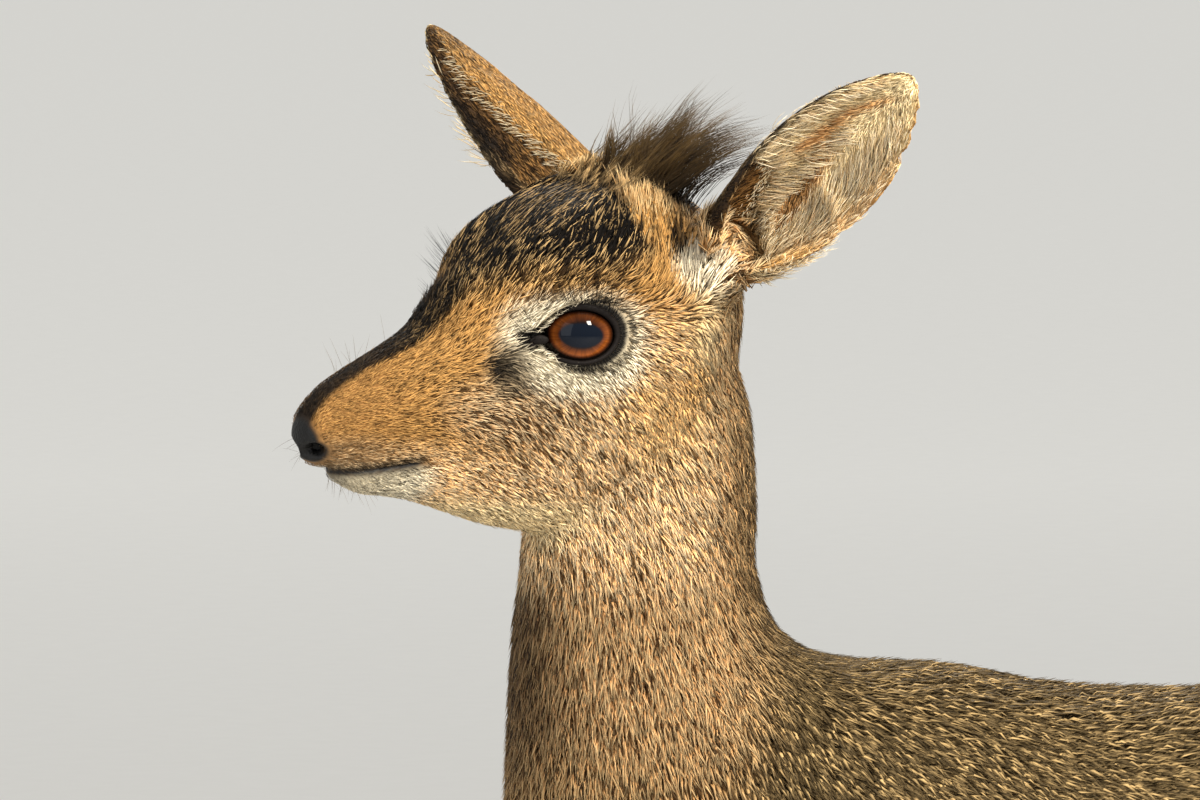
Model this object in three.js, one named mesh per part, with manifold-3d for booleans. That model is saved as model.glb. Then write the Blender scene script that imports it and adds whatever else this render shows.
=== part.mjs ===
// A life-size female dik-dik, a very small antelope, standing with its head turned to its left.
// Millimetres, +Z up. The nose points to -X and the animal's left side faces -Y. The origin lies on the
// ground, below the middle of the bounding box.

import * as THREE from 'three';
import { mergeVertices } from 'three/addons/utils/BufferGeometryUtils.js';
import Module from 'manifold-3d';

const manifold = await Module();
manifold.setup();

const TAU = Math.PI * 2;
const LONG = 900; // longer than the whole animal
const degrees = THREE.MathUtils.degToRad;
const { clamp, lerp, smoothstep } = THREE.MathUtils;

// Driving dimensions. The body frame has x = 0 below the withers, and the head frame is (back, right, up)
// from the tip of the nose. In both, the animal's left side is the negative one.
const MIDDLE = { x: 59.1, y: -3.8 }; // middle of the bounding box in the body frame
const GAP = 0.3; // between neighbouring pieces
const NOSE_TIP = new THREE.Vector3(-171, -45.7, 446);
const HEAD_TURN = degrees(25); // to the animal's left
const HEAD_ROLL = degrees(5); // left side down
const HALF_STANCE = { fore: 33, hind: 38 }; // from the middle of the body to each foot
const STRIDE = { fore: 9, hind: 13 }; // half of the distance by which one foot stands before the other
const EYE_RADIUS = 10.5;
const LID_THICK = 1.5; // skin over the eyeball
const ALMOND = { half: 9.1, high: 6.9, duct: 3.6, drop: 2.6 }; // left open by the lids, with the tear duct
const EYE = new THREE.Vector3(75.6, 16.2, 26); // middle of the right eyeball, in the head frame
const EYE_SPLAY = degrees(60); // from straight ahead to the way an eye looks
const EAR_ROOT = new THREE.Vector3(113, 21, 42); // right ear, in the head frame
const EAR_LENGTH = 78;
const SOLE_GAP = 0.5; // half of the slit between the two halves of a hoof

const SIDES = { left: -1, right: 1 };

const COLOUR = {
  coat: 0x9c7a55,
  head: 0xb98a58,
  ear: 0xb79b78,
  crest: 0x3a2f28,
  horn: 0x2a2522,
  eye: 0x3a1a0c,
};

// Curves and solids

// The solid inside a closed geometry, turned right side out.
function solidOf(geometry) {
  geometry.deleteAttribute('normal');
  geometry.deleteAttribute('uv');
  const merged = mergeVertices(geometry, 1e-4);
  const vertProperties = new Float32Array(merged.getAttribute('position').array);
  const triVerts = new Uint32Array(merged.index.array);
  const made = new manifold.Manifold(new manifold.Mesh({ numProp: 3, vertProperties, triVerts }));
  if (made.volume() > 0) return made;
  for (let i = 0; i < triVerts.length; i += 3) {
    [triVerts[i + 1], triVerts[i + 2]] = [triVerts[i + 2], triVerts[i + 1]];
  }
  return new manifold.Manifold(new manifold.Mesh({ numProp: 3, vertProperties, triVerts }));
}

// A copy of a solid, moved by a matrix.
function moved(solid, matrix) {
  const { vertProperties, triVerts } = solid.getMesh();
  const geometry = new THREE.BufferGeometry();
  geometry.setAttribute('position', new THREE.BufferAttribute(new Float32Array(vertProperties), 3));
  geometry.setIndex(new THREE.BufferAttribute(new Uint32Array(triVerts), 1));
  return solidOf(geometry.applyMatrix4(matrix));
}

// A closed skin of rings: pointAt(t, angle) gives a point, with one point for every angle at t = 0 and t = 1.
function skin(sides, rings, pointAt) {
  const geometry = new THREE.SphereGeometry(1, sides, rings);
  const position = geometry.getAttribute('position');
  for (let ring = 0; ring <= rings; ring += 1) {
    for (let side = 0; side <= sides; side += 1) {
      const angle = ((side % sides) / sides) * TAU;
      const point = pointAt(ring / rings, angle);
      position.setXYZ(ring * (sides + 1) + side, point.x, point.y, point.z);
    }
  }
  return solidOf(geometry);
}

// A smooth value through the given values, spaced evenly from t = 0 to t = 1.
function through(values) {
  const curve = new THREE.CatmullRomCurve3(values, false, 'catmullrom', 0.5);
  return (t) => curve.getPoint(t);
}

const power = (value, exponent) => Math.sign(value) * Math.abs(value) ** exponent;

// A form through stations [x, y, z, deep, wide]: half sizes in the plane of the spine and across it.
function form(stations, sides) {
  const spine = through(stations.map((s) => new THREE.Vector3(s[0], s[1], s[2])));
  const size = through(stations.map((s) => new THREE.Vector3(s[3], s[4], 0)));
  const step = 0.004;
  return skin(sides, (stations.length - 1) * 2, (t, angle) => {
    const centre = spine(t);
    const ahead = spine(Math.min(1, t + step)).sub(spine(Math.max(0, t - step))).normalize();
    const across = new THREE.Vector3(0, 1, 0).addScaledVector(ahead, -ahead.y).normalize();
    const upper = new THREE.Vector3().crossVectors(across, ahead);
    const { x: deep, y: wide } = size(t);
    const end = t === 0 || t === 1 ? 0 : 1;
    centre.addScaledVector(upper, Math.max(deep, 0.2) * Math.cos(angle) * end);
    return centre.addScaledVector(across, Math.max(wide, 0.2) * Math.sin(angle) * end);
  });
}

function ball(centre, radii, sides = 20) {
  const geometry = new THREE.SphereGeometry(1, sides, Math.round(sides * 0.6));
  geometry.scale(radii[0], radii[1], radii[2]);
  geometry.translate(centre[0], centre[1], centre[2]);
  return solidOf(geometry);
}

function boxOf(low, high) {
  const size = high.map((value, axis) => value - low[axis]);
  const geometry = new THREE.BoxGeometry(size[0], size[1], size[2]);
  geometry.translate(low[0] + size[0] / 2, low[1] + size[1] / 2, low[2] + size[2] / 2);
  return solidOf(geometry);
}

// A big block whose one face passes through `at`, with the block on the side that `normal` points to.
function halfSpace(at, normal, reach = LONG * 2) {
  const geometry = new THREE.BoxGeometry(reach, reach, reach);
  geometry.translate(0, 0, reach / 2);
  const turn = new THREE.Quaternion().setFromUnitVectors(new THREE.Vector3(0, 0, 1), normal);
  geometry.applyQuaternion(turn);
  geometry.translate(at.x, at.y, at.z);
  return solidOf(geometry);
}

const joined = (solids) => solids.reduce((sum, solid) => sum.add(solid));

// The largest closed surface of a solid, with any loose scrap dropped.
function largest(solid) {
  return solid.decompose().reduce((best, piece) => (piece.volume() > best.volume() ? piece : best));
}

// Splits a solid by a plane, leaving the gap. The first part lies on the side that the normal points to.
function parted(solid, at, normal) {
  const shift = normal.clone().multiplyScalar(GAP / 2);
  const above = solid.intersect(halfSpace(at.clone().add(shift), normal));
  const below = solid.intersect(halfSpace(at.clone().sub(shift), normal.clone().negate()));
  return [above, below];
}

// Neck and trunk

// Chords of neck and trunk in side view: nape or back [x, z], throat or belly [x, z], half width, egg
const BODY = [
  [[-56, 474], [-98, 466], 0, 0],
  [[-51, 465], [-99.5, 457], 18.5, 0],
  [[-45, 446], [-102, 437], 22, 0],
  [[-44, 418], [-104, 415], 24.5, 0],
  [[-42, 399], [-106, 394], 27.5, 0],
  [[-35, 390], [-107.5, 373], 32.5, 0],
  [[-23, 386], [-108.5, 349], 37.5, 0],
  [[-8, 385], [-107, 322], 41.5, 0],
  [[8, 384], [-97, 292], 44, 0.04],
  [[24, 380.5], [-76, 264], 46, 0.06],
  [[40, 378.5], [-44, 247], 47.5, 0.04],
  [[60, 377.5], [-5, 241], 49, 0],
  [[85, 378], [40, 242], 52, -0.06],
  [[115, 381], [85, 247], 54, -0.1],
  [[148, 386], [130, 255], 52.5, -0.08],
  [[182, 389], [175, 267], 49, 0],
  [[214, 387], [212, 282], 45, 0.04],
  [[244, 376], [243, 297], 38, 0.06],
  [[264, 358], [264, 314], 24, 0.04],
  [[271, 338], [271, 334], 0, 0],
];

// One skin whose rings lie on the chords, turning from level in the neck to upright in the trunk.
function body() {
  const back = through(BODY.map(([upper]) => new THREE.Vector3(upper[0], 0, upper[1])));
  const belly = through(BODY.map(([, lower]) => new THREE.Vector3(lower[0], 0, lower[1])));
  const size = through(BODY.map(([, , half, egg]) => new THREE.Vector3(half, egg, 0)));
  return skin(26, (BODY.length - 1) * 2, (t, angle) => {
    const end = t === 0 || t === 1 ? 0 : 1;
    const middle = back(t).add(belly(t)).multiplyScalar(0.5);
    const half = back(t).sub(middle);
    const rise = Math.cos(angle);
    const { x: wide, y: egg } = size(t);
    middle.addScaledVector(half, rise * end);
    middle.y += Math.max(wide, 0.2) * (1 + egg * rise) * power(Math.sin(angle), 0.93) * end;
    return middle;
  });
}

// Tail, with its size grown to clear room for it.
function tail(grown = 0) {
  const stations = [
    [246, 366, 0, 0],
    [251, 365, 8, 8],
    [261, 359, 8.5, 8.8],
    [272, 347, 7.5, 8.6],
    [279, 333, 6, 7.2],
    [283, 320, 3.8, 4.6],
    [285, 309 - grown, 0, 0],
  ];
  return form(stations.map(([x, z, deep, wide]) => [x, 0, z, deep + grown, wide + grown]), 14);
}

// Legs, from inside the body down to the crown of the hoof: [x, distance out from the stance, z, deep, wide]

const FORELEG = [
  [-4, -14, 362, 0, 0],
  [-8, -9, 345, 24, 10],
  [-27, -3, 318, 33, 14],
  [-42, 0, 290, 32, 15],
  [-42, 1.5, 264, 25, 13.5],
  [-34, 2, 242, 17.5, 11.2],
  [-31, 2, 220, 13.2, 9.8],
  [-33, 1, 190, 10.4, 8.4],
  [-35, 0, 158, 8.3, 7.3],
  [-36.5, 0, 132, 7.8, 7.3],
  [-37, 0, 118, 8.4, 8.1],
  [-35, 0, 102, 6.9, 6.6],
  [-34.2, 0, 72, 6.1, 5.9],
  [-35, 0, 44, 6.9, 6.5],
  [-36, 0, 34, 7.9, 7.3],
  [-40, 0, 24, 6.8, 7.1],
  [-45, 0, 14, 6.6, 7.7],
  [-47.5, 0, 7, 0, 0],
];

const HINDLEG = [
  [224, -20, 366, 0, 0],
  [222, -14, 354, 30, 12],
  [216, -6, 331, 43, 15.5],
  [209, -3, 304, 46, 16],
  [197, 0, 276, 40, 15.2],
  [191, 2.5, 252, 30, 13.8],
  [197, 2, 228, 21, 11.4],
  [214, 1, 200, 14.4, 9.4],
  [232, 0, 172, 10.4, 7.8],
  [246, 0, 152, 9.2, 7.2],
  [252, 0, 138, 10, 8],
  [250.5, 0, 123, 8.7, 7.3],
  [244, 0, 100, 6.9, 6.5],
  [237, 0, 68, 6.2, 6],
  [232.5, 0, 45, 6.8, 6.5],
  [230.5, 0, 35, 8, 7.5],
  [225.5, 0, 24, 6.9, 7.2],
  [219.5, 0, 14, 6.6, 7.8],
  [216, 0, 7, 0, 0],
];

const LOWER_LEG = 250; // a foot's step to the front or back fades out at this height

// A leg on one side of the body. Step moves the foot forward.
function leg(stations, halfStance, side, step) {
  const placed = stations.map(([x, out, z, deep, wide]) => {
    const share = clamp(1 - z / LOWER_LEG, 0, 1);
    return [x - step * share, side * (halfStance + out), z, deep, wide];
  });
  return form(placed, 12);
}

// The horn of a foot: two pointed halves, side by side, with flat soles at ground level.
const HOOF = { long: 23, wide: 9.2, high: 17, lean: 0.34, narrow: 0.36, heelBack: 9.5 };

function hoofHalf(crownX, y, inner) {
  const geometry = new THREE.CylinderGeometry(1, 1, 1, 14, 3);
  const position = geometry.getAttribute('position');
  for (let i = 0; i < position.count; i += 1) {
    const high = (position.getY(i) + 0.5) * HOOF.high;
    const fore = position.getX(i);
    const out = position.getZ(i);
    const along = (fore * HOOF.long) / 2;
    const slope = HOOF.lean * high * (1 + fore);
    const half = (HOOF.wide / 2) * (1 - HOOF.narrow * Math.max(fore, 0) ** 1.5);
    const centre = inner * (SOLE_GAP + HOOF.wide / 2 - 0.6 * Math.max(fore, 0));
    const x = crownX - (along + HOOF.long / 2 - HOOF.heelBack - slope);
    position.setXYZ(i, x, y + centre + out * half * (1 - 0.012 * high), high);
  }
  return solidOf(geometry);
}

// Head, in the head frame: back from the nose, to the right, and up

// Sections of the head: [back, top, bottom, half width, egg, squareness of the upper half]
const HEAD = [
  [4.2, 0.6, -1.4, 0, 0, 2],
  [4.7, 4, -4.2, 4, 0, 2],
  [6.4, 7.6, -6.2, 6, 0, 2],
  [9.6, 11, -7.5, 7.4, 0, 2],
  [12.4, 13.2, -8.6, 8.2, 0.02, 2.1],
  [15.4, 15, -10.6, 8.8, 0.05, 2.1],
  [22, 18.3, -14.8, 9.8, 0.1, 2.2],
  [31, 22.6, -16, 11.5, 0.15, 2.2],
  [41, 28.2, -18.2, 14, 0.2, 2.3],
  [52, 38, -22, 17, 0.24, 3],
  [62, 49.4, -25, 19.6, 0.26, 4.4],
  [73, 56.8, -27, 21.8, 0.2, 4.6],
  [85, 60.4, -27.5, 23.4, 0.14, 3.8],
  [98, 61.4, -25, 24.4, 0.06, 3],
  [110, 59.6, -18, 23.6, 0, 2.5],
  [120, 54, -6, 20, 0, 2.2],
  [128, 44, 8, 13.5, 0, 2],
  [132, 30, 18, 0, 0, 2],
];

// Swellings and hollows on either side of the head: [back, up, reach back, reach up, amount]
const SWELLINGS = [
  [63, 43, 13, 9, 5.5], // brow
  [72, 25, 15, 13, 1.8], // rim of the orbit
  [57, 24, 8, 9, -1.6], // hollow before the eye
  [84, 14, 17, 6, 1.3], // cheekbone
  [91, -5, 16, 14, 2.2], // cheek muscle
  [114, 42, 12, 12, 5], // root of the ear
  [8, -3, 3.6, 4.2, 0.9], // wing of the nostril
];

const MOUTH = {
  open: 6,
  front: 12,
  corner: 35,
  slit: 1.1,
  deep: 2.6,
  frontHigh: -8.8,
  cornerHigh: -6.2,
  sag: -0.4,
};
const LIP = { swell: 0.85, reach: 2.1 };

// Height of the line of the mouth at a distance back from the nose.
function mouthHigh(back) {
  const share = (back - MOUTH.front) / (MOUTH.corner - MOUTH.front);
  return lerp(MOUTH.frontHigh, MOUTH.cornerHigh, share) + MOUTH.sag * Math.sin(share * Math.PI);
}

const bell = (distance, reach) => Math.exp(-((distance / reach) ** 2));

// The head without holes, drawn in by an inset. Its lips swell along the mouth.
function skull(inset) {
  const spine = through(HEAD.map(([back, top, bottom]) => {
    return new THREE.Vector3(back, (top + bottom) / 2, (top - bottom) / 2);
  }));
  const size = through(HEAD.map(([, , , wide, egg, square]) => new THREE.Vector3(wide, egg, square)));
  return skin(32, 30, (t, angle) => {
    const end = t === 0 || t === 1 ? 0 : 1;
    const { x: back, y: middle, z: tall } = spine(t);
    const { x: wide, y: egg, z: square } = size(t);
    const rise = Math.cos(angle);
    const out = Math.abs(Math.sin(angle)) ** (rise > 0 ? 2 / square : 0.95);
    const up = middle + Math.max(tall - inset, 0.2) * rise * end;
    const mouth = smoothstep(MOUTH.corner - back, 0, 8) * smoothstep(back, MOUTH.open, MOUTH.front);
    let half = Math.max(wide - inset, 0.2) * (1 + egg * rise);
    half += LIP.swell * bell(up - mouthHigh(back), LIP.reach) * mouth;
    for (const [atBack, atUp, reachBack, reachUp, amount] of SWELLINGS) {
      half += amount * bell(back - atBack, reachBack) * bell(up - atUp, reachUp);
    }
    return new THREE.Vector3(back, half * out * Math.sign(Math.sin(angle)) * end, up);
  });
}

// The slit between the lips: a thin band that follows the mouth, outside an inner core of the muzzle.
function mouthSlit() {
  const band = new THREE.BoxGeometry(1, 60, MOUTH.slit, 10, 1, 1);
  const position = band.getAttribute('position');
  for (let i = 0; i < position.count; i += 1) {
    const back = lerp(MOUTH.open, MOUTH.corner, position.getX(i) + 0.5);
    const thin = smoothstep(MOUTH.corner - back, -1.5, 7);
    position.setXYZ(i, back, position.getY(i), mouthHigh(back) + position.getZ(i) * thin);
  }
  return solidOf(band).subtract(skull(MOUTH.deep));
}

const NOSTRIL = { back: 6.4, out: 6, up: -3.2 };

function nostril(side) {
  const geometry = new THREE.SphereGeometry(1, 12, 8);
  geometry.scale(1.6, 2.6, 2.6);
  geometry.rotateY(degrees(-24));
  geometry.rotateZ(side * degrees(38));
  geometry.translate(NOSTRIL.back, side * NOSTRIL.out, NOSTRIL.up);
  return solidOf(geometry);
}

// The way an eye looks, in the head frame.
const gaze = (side) => new THREE.Vector3(-Math.cos(EYE_SPLAY), side * Math.sin(EYE_SPLAY), 0.03).normalize();

const eyeCentre = (side) => [EYE.x, side * EYE.y, EYE.z];

function eyeball(side) {
  return ball(eyeCentre(side), [EYE_RADIUS, EYE_RADIUS, EYE_RADIUS], 16);
}

// The almond between the lids, pushed along the gaze: round behind, drawn out to a tear duct in front.
function lidOpening(side) {
  const outline = new THREE.Shape();
  const points = 20;
  for (let i = 0; i < points; i += 1) {
    const angle = (i / points) * TAU;
    const duct = Math.max(Math.cos(angle), 0) ** 3;
    const x = ALMOND.half * Math.cos(angle) + ALMOND.duct * duct;
    const y = ALMOND.high * power(Math.sin(angle), 1 + 0.9 * duct) - ALMOND.drop * duct;
    if (i === 0) outline.moveTo(x, y);
    else outline.lineTo(x, y);
  }
  const geometry = new THREE.ExtrudeGeometry(outline, { depth: EYE_RADIUS * 2, bevelEnabled: false });
  const look = gaze(side);
  const fore = new THREE.Vector3(0, 0, 1).cross(look).multiplyScalar(side).normalize();
  const up = new THREE.Vector3().crossVectors(look, fore).multiplyScalar(side);
  const place = new THREE.Matrix4().makeBasis(fore, up, look);
  const behind = new THREE.Vector3(...eyeCentre(side)).addScaledVector(look, EYE_RADIUS * 0.42);
  place.setPosition(behind); // deep enough to pass the lids, short of the far wall of the socket
  geometry.applyMatrix4(place);
  return solidOf(geometry);
}

// The skin of the lids, stretched over the eyeball.
function lids(side) {
  const radius = EYE_RADIUS + LID_THICK + GAP;
  return ball(eyeCentre(side), [radius, radius, radius], 18);
}

// The pit of the gland before the eye.
const GLAND = { back: 53.5, out: 17.6, up: 17.2, radius: 1.6 };

// Ears

// Sections of an ear: [height, half width of the flat leaf, half angle that it curls through]
const EAR = [
  [-7, 0, 162],
  [-6, 26, 162],
  [0, 26, 161],
  [8, 26, 156],
  [17, 26.4, 131],
  [28, 25.4, 105],
  [39, 23.2, 88],
  [49, 20.2, 76],
  [58, 16.4, 66],
  [66, 11.6, 58],
  [73, 6.4, 50],
  [EAR_LENGTH, 0, 44],
];
const EAR_THICK = 1.9;
const EAR_PLUG = [9.6, 9.6, 10]; // fills the foot of the cup
const EAR_CUT = 8; // from the root to the thin cut between head and ear
const EAR_CLEAR = [26, 26, 26]; // no part of the head rises past the cut within this reach
const EAR_AXIS = {
  left: new THREE.Vector3(19.5, -53.1, 53.7).normalize(),
  right: new THREE.Vector3(-25, 56.5, 50.8).normalize(),
};

const earRoot = (side) => new THREE.Vector3(EAR_ROOT.x, side * EAR_ROOT.y, EAR_ROOT.z);

// The frame of an ear: x across the leaf, y the way the cup opens, z up its length.
function earFrame(side) {
  const axis = side < 0 ? EAR_AXIS.left : EAR_AXIS.right;
  const open = new THREE.Vector3(-0.5, side * 0.86, -0.06);
  open.addScaledVector(axis, -open.dot(axis)).normalize();
  const across = new THREE.Vector3().crossVectors(open, axis);
  const frame = new THREE.Matrix4().makeBasis(across, open, axis);
  return frame.setPosition(earRoot(side));
}

// A leaf that curls round the ear's axis: a tube at the root, an open cup higher up, a point at the tip.
function earLeaf() {
  const leaf = through(EAR.map(([high, half, curl]) => new THREE.Vector3(high, half, degrees(curl))));
  const rootRadius = EAR[3][1] / degrees(EAR[3][2]);
  return skin(20, 17, (t, angle) => {
    const { x: high, y: half, z: curl } = leaf(t);
    const end = t === 0 || t === 1 ? 0 : 1;
    const bend = Math.cos(angle) * curl;
    const radius = Math.max(half, 0.3) / curl;
    const thick = (EAR_THICK / 2) * power(Math.sin(angle), 0.7) * end;
    const reach = (radius - thick) * end;
    const back = radius * end - rootRadius * (1 - (Math.max(high, 0) / EAR_LENGTH) ** 2);
    return new THREE.Vector3(reach * Math.sin(bend), back - reach * Math.cos(bend), high);
  });
}

// Crest: flat, tapered locks on a low core, in rows along the crown, blown up and back

const CREST = { rows: 9, perRow: 5, first: 86, last: 121, halfSpread: 9, short: 19, long: 35 };
const CREST_RISE = { first: degrees(64), last: degrees(40) }; // of the locks above the head's own level
const CREST_CORE = { at: [102, 0, 58], radii: [23, 9.5, 7.5] };
const LOCK = { wide: 3, thin: 0.8, sunk: 5, bend: 0.16 };

// Repeatable numbers from 0 to 1.
function dice(seed) {
  let state = seed;
  return () => {
    state = (state * 1664525 + 1013904223) % 4294967296;
    return state / 4294967296;
  };
}

const crownHigh = (back) => 62 - 0.02 * Math.max(back - 100, 0) ** 2;

// A flat lock of four sides that bends back from its root and tapers to a point.
function lock(root, rise, splay, length) {
  const path = (t) => new THREE.Vector3(
    root.x + length * (Math.cos(rise) * t + LOCK.bend * t * t),
    root.y + length * splay * t,
    root.z + length * (Math.sin(rise) * t - LOCK.bend * t * t),
  );
  return skin(4, 5, (t, angle) => {
    const along = (t * (length + LOCK.sunk) - LOCK.sunk) / length;
    const centre = path(along);
    const ahead = path(along + 0.02).sub(path(along - 0.02)).normalize();
    const across = new THREE.Vector3(0, 1, 0).addScaledVector(ahead, -ahead.y).normalize();
    const flat = new THREE.Vector3().crossVectors(across, ahead);
    const taper = t === 0 || t === 1 ? 0 : Math.min(t * 5, 1) * (1.12 - t) ** 0.6;
    centre.addScaledVector(across, LOCK.wide * taper * Math.cos(angle));
    return centre.addScaledVector(flat, LOCK.thin * taper * Math.sin(angle));
  });
}

function crest() {
  const roll = dice(41);
  const locks = [ball(CREST_CORE.at, CREST_CORE.radii, 12)];
  for (let row = 0; row < CREST.rows; row += 1) {
    const share = row / (CREST.rows - 1);
    for (let i = 0; i < CREST.perRow; i += 1) {
      const spread = ((i + 0.5 * (row % 2)) / (CREST.perRow - 0.5)) * 2 - 1;
      const across = spread * CREST.halfSpread * (0.7 + 0.3 * Math.sin(share * Math.PI));
      const back = lerp(CREST.first, CREST.last, share) + (roll() - 0.5) * 3;
      const root = new THREE.Vector3(back, across, crownHigh(back) - 0.04 * across * across);
      const grown = Math.sin(Math.min(share * 1.5, 1) * (Math.PI / 2));
      const ragged = (0.78 + 0.3 * roll()) * (1 - 0.25 * spread * spread);
      const rise = lerp(CREST_RISE.first, CREST_RISE.last, share) + (roll() - 0.5) * 0.22;
      const splay = spread * 0.22 + (roll() - 0.5) * 0.1;
      locks.push(lock(root, rise, splay, lerp(CREST.short, CREST.long, grown) * ragged));
    }
  }
  return joined(locks);
}

// Assembly

// From the head frame to the body frame: turned to the left, then rolled left side down.
function headPlace() {
  const turn = new THREE.Matrix4().makeRotationZ(HEAD_TURN);
  const roll = new THREE.Matrix4().makeRotationX(HEAD_ROLL);
  return turn.multiply(roll).setPosition(NOSE_TIP);
}

const HEAD_PLACE = headPlace();
const headPoint = (x, y, z) => new THREE.Vector3(x, y, z).applyMatrix4(HEAD_PLACE);
const headDirection = (x, y, z) => new THREE.Vector3(x, y, z).transformDirection(HEAD_PLACE);

// The head with its sockets, mouth, nostrils and the roots of its ears, and each ear parted from it.
function headParts() {
  const parts = {};
  let head = skull(0);
  for (const side of Object.values(SIDES)) head = head.add(lids(side));
  head = head.subtract(mouthSlit());
  for (const side of Object.values(SIDES)) {
    const socket = EYE_RADIUS + GAP;
    head = head.subtract(nostril(side));
    head = head.subtract(ball(eyeCentre(side), [socket, socket, socket], 16));
    head = head.subtract(lidOpening(side));
    const { back, out, up, radius } = GLAND;
    head = head.subtract(ball([back, side * out, up], [radius, radius, radius], 8));
  }
  for (const [name, side] of Object.entries(SIDES)) {
    const frame = earFrame(side);
    const ear = moved(earLeaf().add(ball([0, 0, 0], EAR_PLUG, 10)), frame);
    const axis = new THREE.Vector3().setFromMatrixColumn(frame, 2);
    const cutAt = earRoot(side).addScaledVector(axis, EAR_CUT);
    const [above, below] = parted(ear, cutAt, axis);
    const clear = halfSpace(cutAt.clone().addScaledVector(axis, GAP / 2), axis);
    head = head.subtract(clear.intersect(ball(earRoot(side).toArray(), EAR_CLEAR, 16)));
    parts[`ear_${name}`] = largest(above);
    head = head.add(below);
  }
  let locks = crest();
  for (const aside of [-GAP, 0, GAP]) {
    locks = locks.subtract(moved(head, new THREE.Matrix4().makeTranslation(GAP / 2, aside, GAP)));
  }
  parts.crest = largest(locks);
  parts.head = head;
  return parts;
}

const CUT = {
  jaw: { at: headPoint(98, 0, -10), normal: headDirection(-0.5, 0, 0.866) },
  shoulder: { at: new THREE.Vector3(-65, 0, 364), normal: new THREE.Vector3(-0.42, 0, 0.9075).normalize() },
  elbow: { at: new THREE.Vector3(-35, 0, 238), normal: new THREE.Vector3(0, 0, 1) },
  thigh: { at: new THREE.Vector3(200, 0, 262), normal: new THREE.Vector3(-0.2, 0, 0.98).normalize() },
  tail: { at: new THREE.Vector3(259, 0, 360), normal: new THREE.Vector3(0.74, 0, -0.67).normalize() },
};

const CROWN = { high: 12.5, slope: degrees(24) }; // where horn meets skin at a hoof, higher in front

const LEG_KINDS = {
  foreleg: { stations: FORELEG, stance: HALF_STANCE.fore, stride: STRIDE.fore, cut: CUT.elbow, crownX: -47 },
  hindleg: { stations: HINDLEG, stance: HALF_STANCE.hind, stride: STRIDE.hind, cut: CUT.thigh, crownX: 217 },
};

// Which foot of each pair stands forward.
const LEADING = { foreleg: SIDES.right, hindleg: SIDES.left };

// Neck, trunk, tail and legs joined to the head, then parted into pieces by thin cuts.
function bodyParts(head) {
  const parts = {};
  const legs = [];
  for (const [kind, made] of Object.entries(LEG_KINDS)) {
    for (const [name, side] of Object.entries(SIDES)) {
      const step = made.stride * (LEADING[kind] === side ? 1 : -1);
      legs.push({ ...made, name: `${kind}_${name}`, side, step });
    }
  }
  const flesh = legs.map((one) => leg(one.stations, one.stance, one.side, one.step));
  let whole = joined([body(), moved(head, HEAD_PLACE), ...flesh]);

  for (const one of legs) {
    // Both cuts pass below the belly, so that a leg is all that lies under its cut on its side and end.
    const { at, normal } = one.cut;
    const end = at.x < MIDDLE.x ? [-LONG, MIDDLE.x] : [MIDDLE.x, LONG];
    const flank = one.side < 0 ? [-LONG, 0] : [0, LONG];
    const quarter = boxOf([end[0], flank[0], -LONG], [end[1], flank[1], LONG]);
    const down = normal.clone().negate();
    const under = at.clone().addScaledVector(down, GAP / 2);
    const over = at.clone().addScaledVector(down, -GAP / 2);
    const limb = whole.intersect(quarter.intersect(halfSpace(under, down)));
    whole = whole.subtract(quarter.intersect(halfSpace(over, down)));

    // Horn below the slanting crown, skin above it.
    const crownX = one.crownX - one.step * (1 - CROWN.high / LOWER_LEG);
    const crown = new THREE.Vector3(crownX, 0, CROWN.high);
    const crownUp = new THREE.Vector3(Math.sin(CROWN.slope), 0, Math.cos(CROWN.slope));
    const [skinAbove] = parted(limb, crown, crownUp);
    parts[one.name] = largest(skinAbove);
    for (const [half, inner] of Object.entries({ a: -1, b: 1 })) {
      const [, horn] = parted(hoofHalf(crownX, one.side * one.stance, inner), crown, crownUp);
      parts[`hoof_${one.name}_${half}`] = largest(horn);
    }
  }

  const [headSide, rest] = parted(whole, CUT.jaw.at, CUT.jaw.normal);
  const [neckSide, torso] = parted(rest, CUT.shoulder.at, CUT.shoulder.normal);
  parts.head = largest(headSide);
  parts.neck = largest(neckSide);
  const [tailOut, tailIn] = parted(tail(), CUT.tail.at, CUT.tail.normal);
  const roomAt = CUT.tail.at.clone().addScaledVector(CUT.tail.normal, -GAP);
  const [tailRoom] = parted(tail(GAP), roomAt, CUT.tail.normal);
  parts.tail = largest(tailOut);
  parts.torso = largest(torso.add(tailIn).subtract(tailRoom));

  return parts;
}

// The node tree

const LOOKS = [
  [/^eye/, { color: COLOUR.eye, roughness: 0.12, metalness: 0 }],
  [/^hoof/, { color: COLOUR.horn, roughness: 0.5, metalness: 0 }],
  [/^crest/, { color: COLOUR.crest, roughness: 0.8, metalness: 0 }],
  [/^ear/, { color: COLOUR.ear, roughness: 0.85, metalness: 0 }],
  [/^head/, { color: COLOUR.head, roughness: 0.85, metalness: 0 }],
  [/./, { color: COLOUR.coat, roughness: 0.9, metalness: 0 }],
];

function meshOf(name, solid) {
  const { numProp, vertProperties, triVerts, numVert } = solid.getMesh();
  const positions = new Float32Array(numVert * 3);
  for (let i = 0; i < numVert; i += 1) {
    positions.set(vertProperties.subarray(i * numProp, i * numProp + 3), i * 3);
  }
  const geometry = new THREE.BufferGeometry();
  geometry.setAttribute('position', new THREE.BufferAttribute(positions, 3));
  geometry.setIndex(new THREE.BufferAttribute(triVerts, 1));
  geometry.computeVertexNormals();
  const [, look] = LOOKS.find(([pattern]) => pattern.test(name));
  const mesh = new THREE.Mesh(geometry, new THREE.MeshStandardMaterial(look));
  mesh.name = name;
  return mesh;
}

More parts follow.
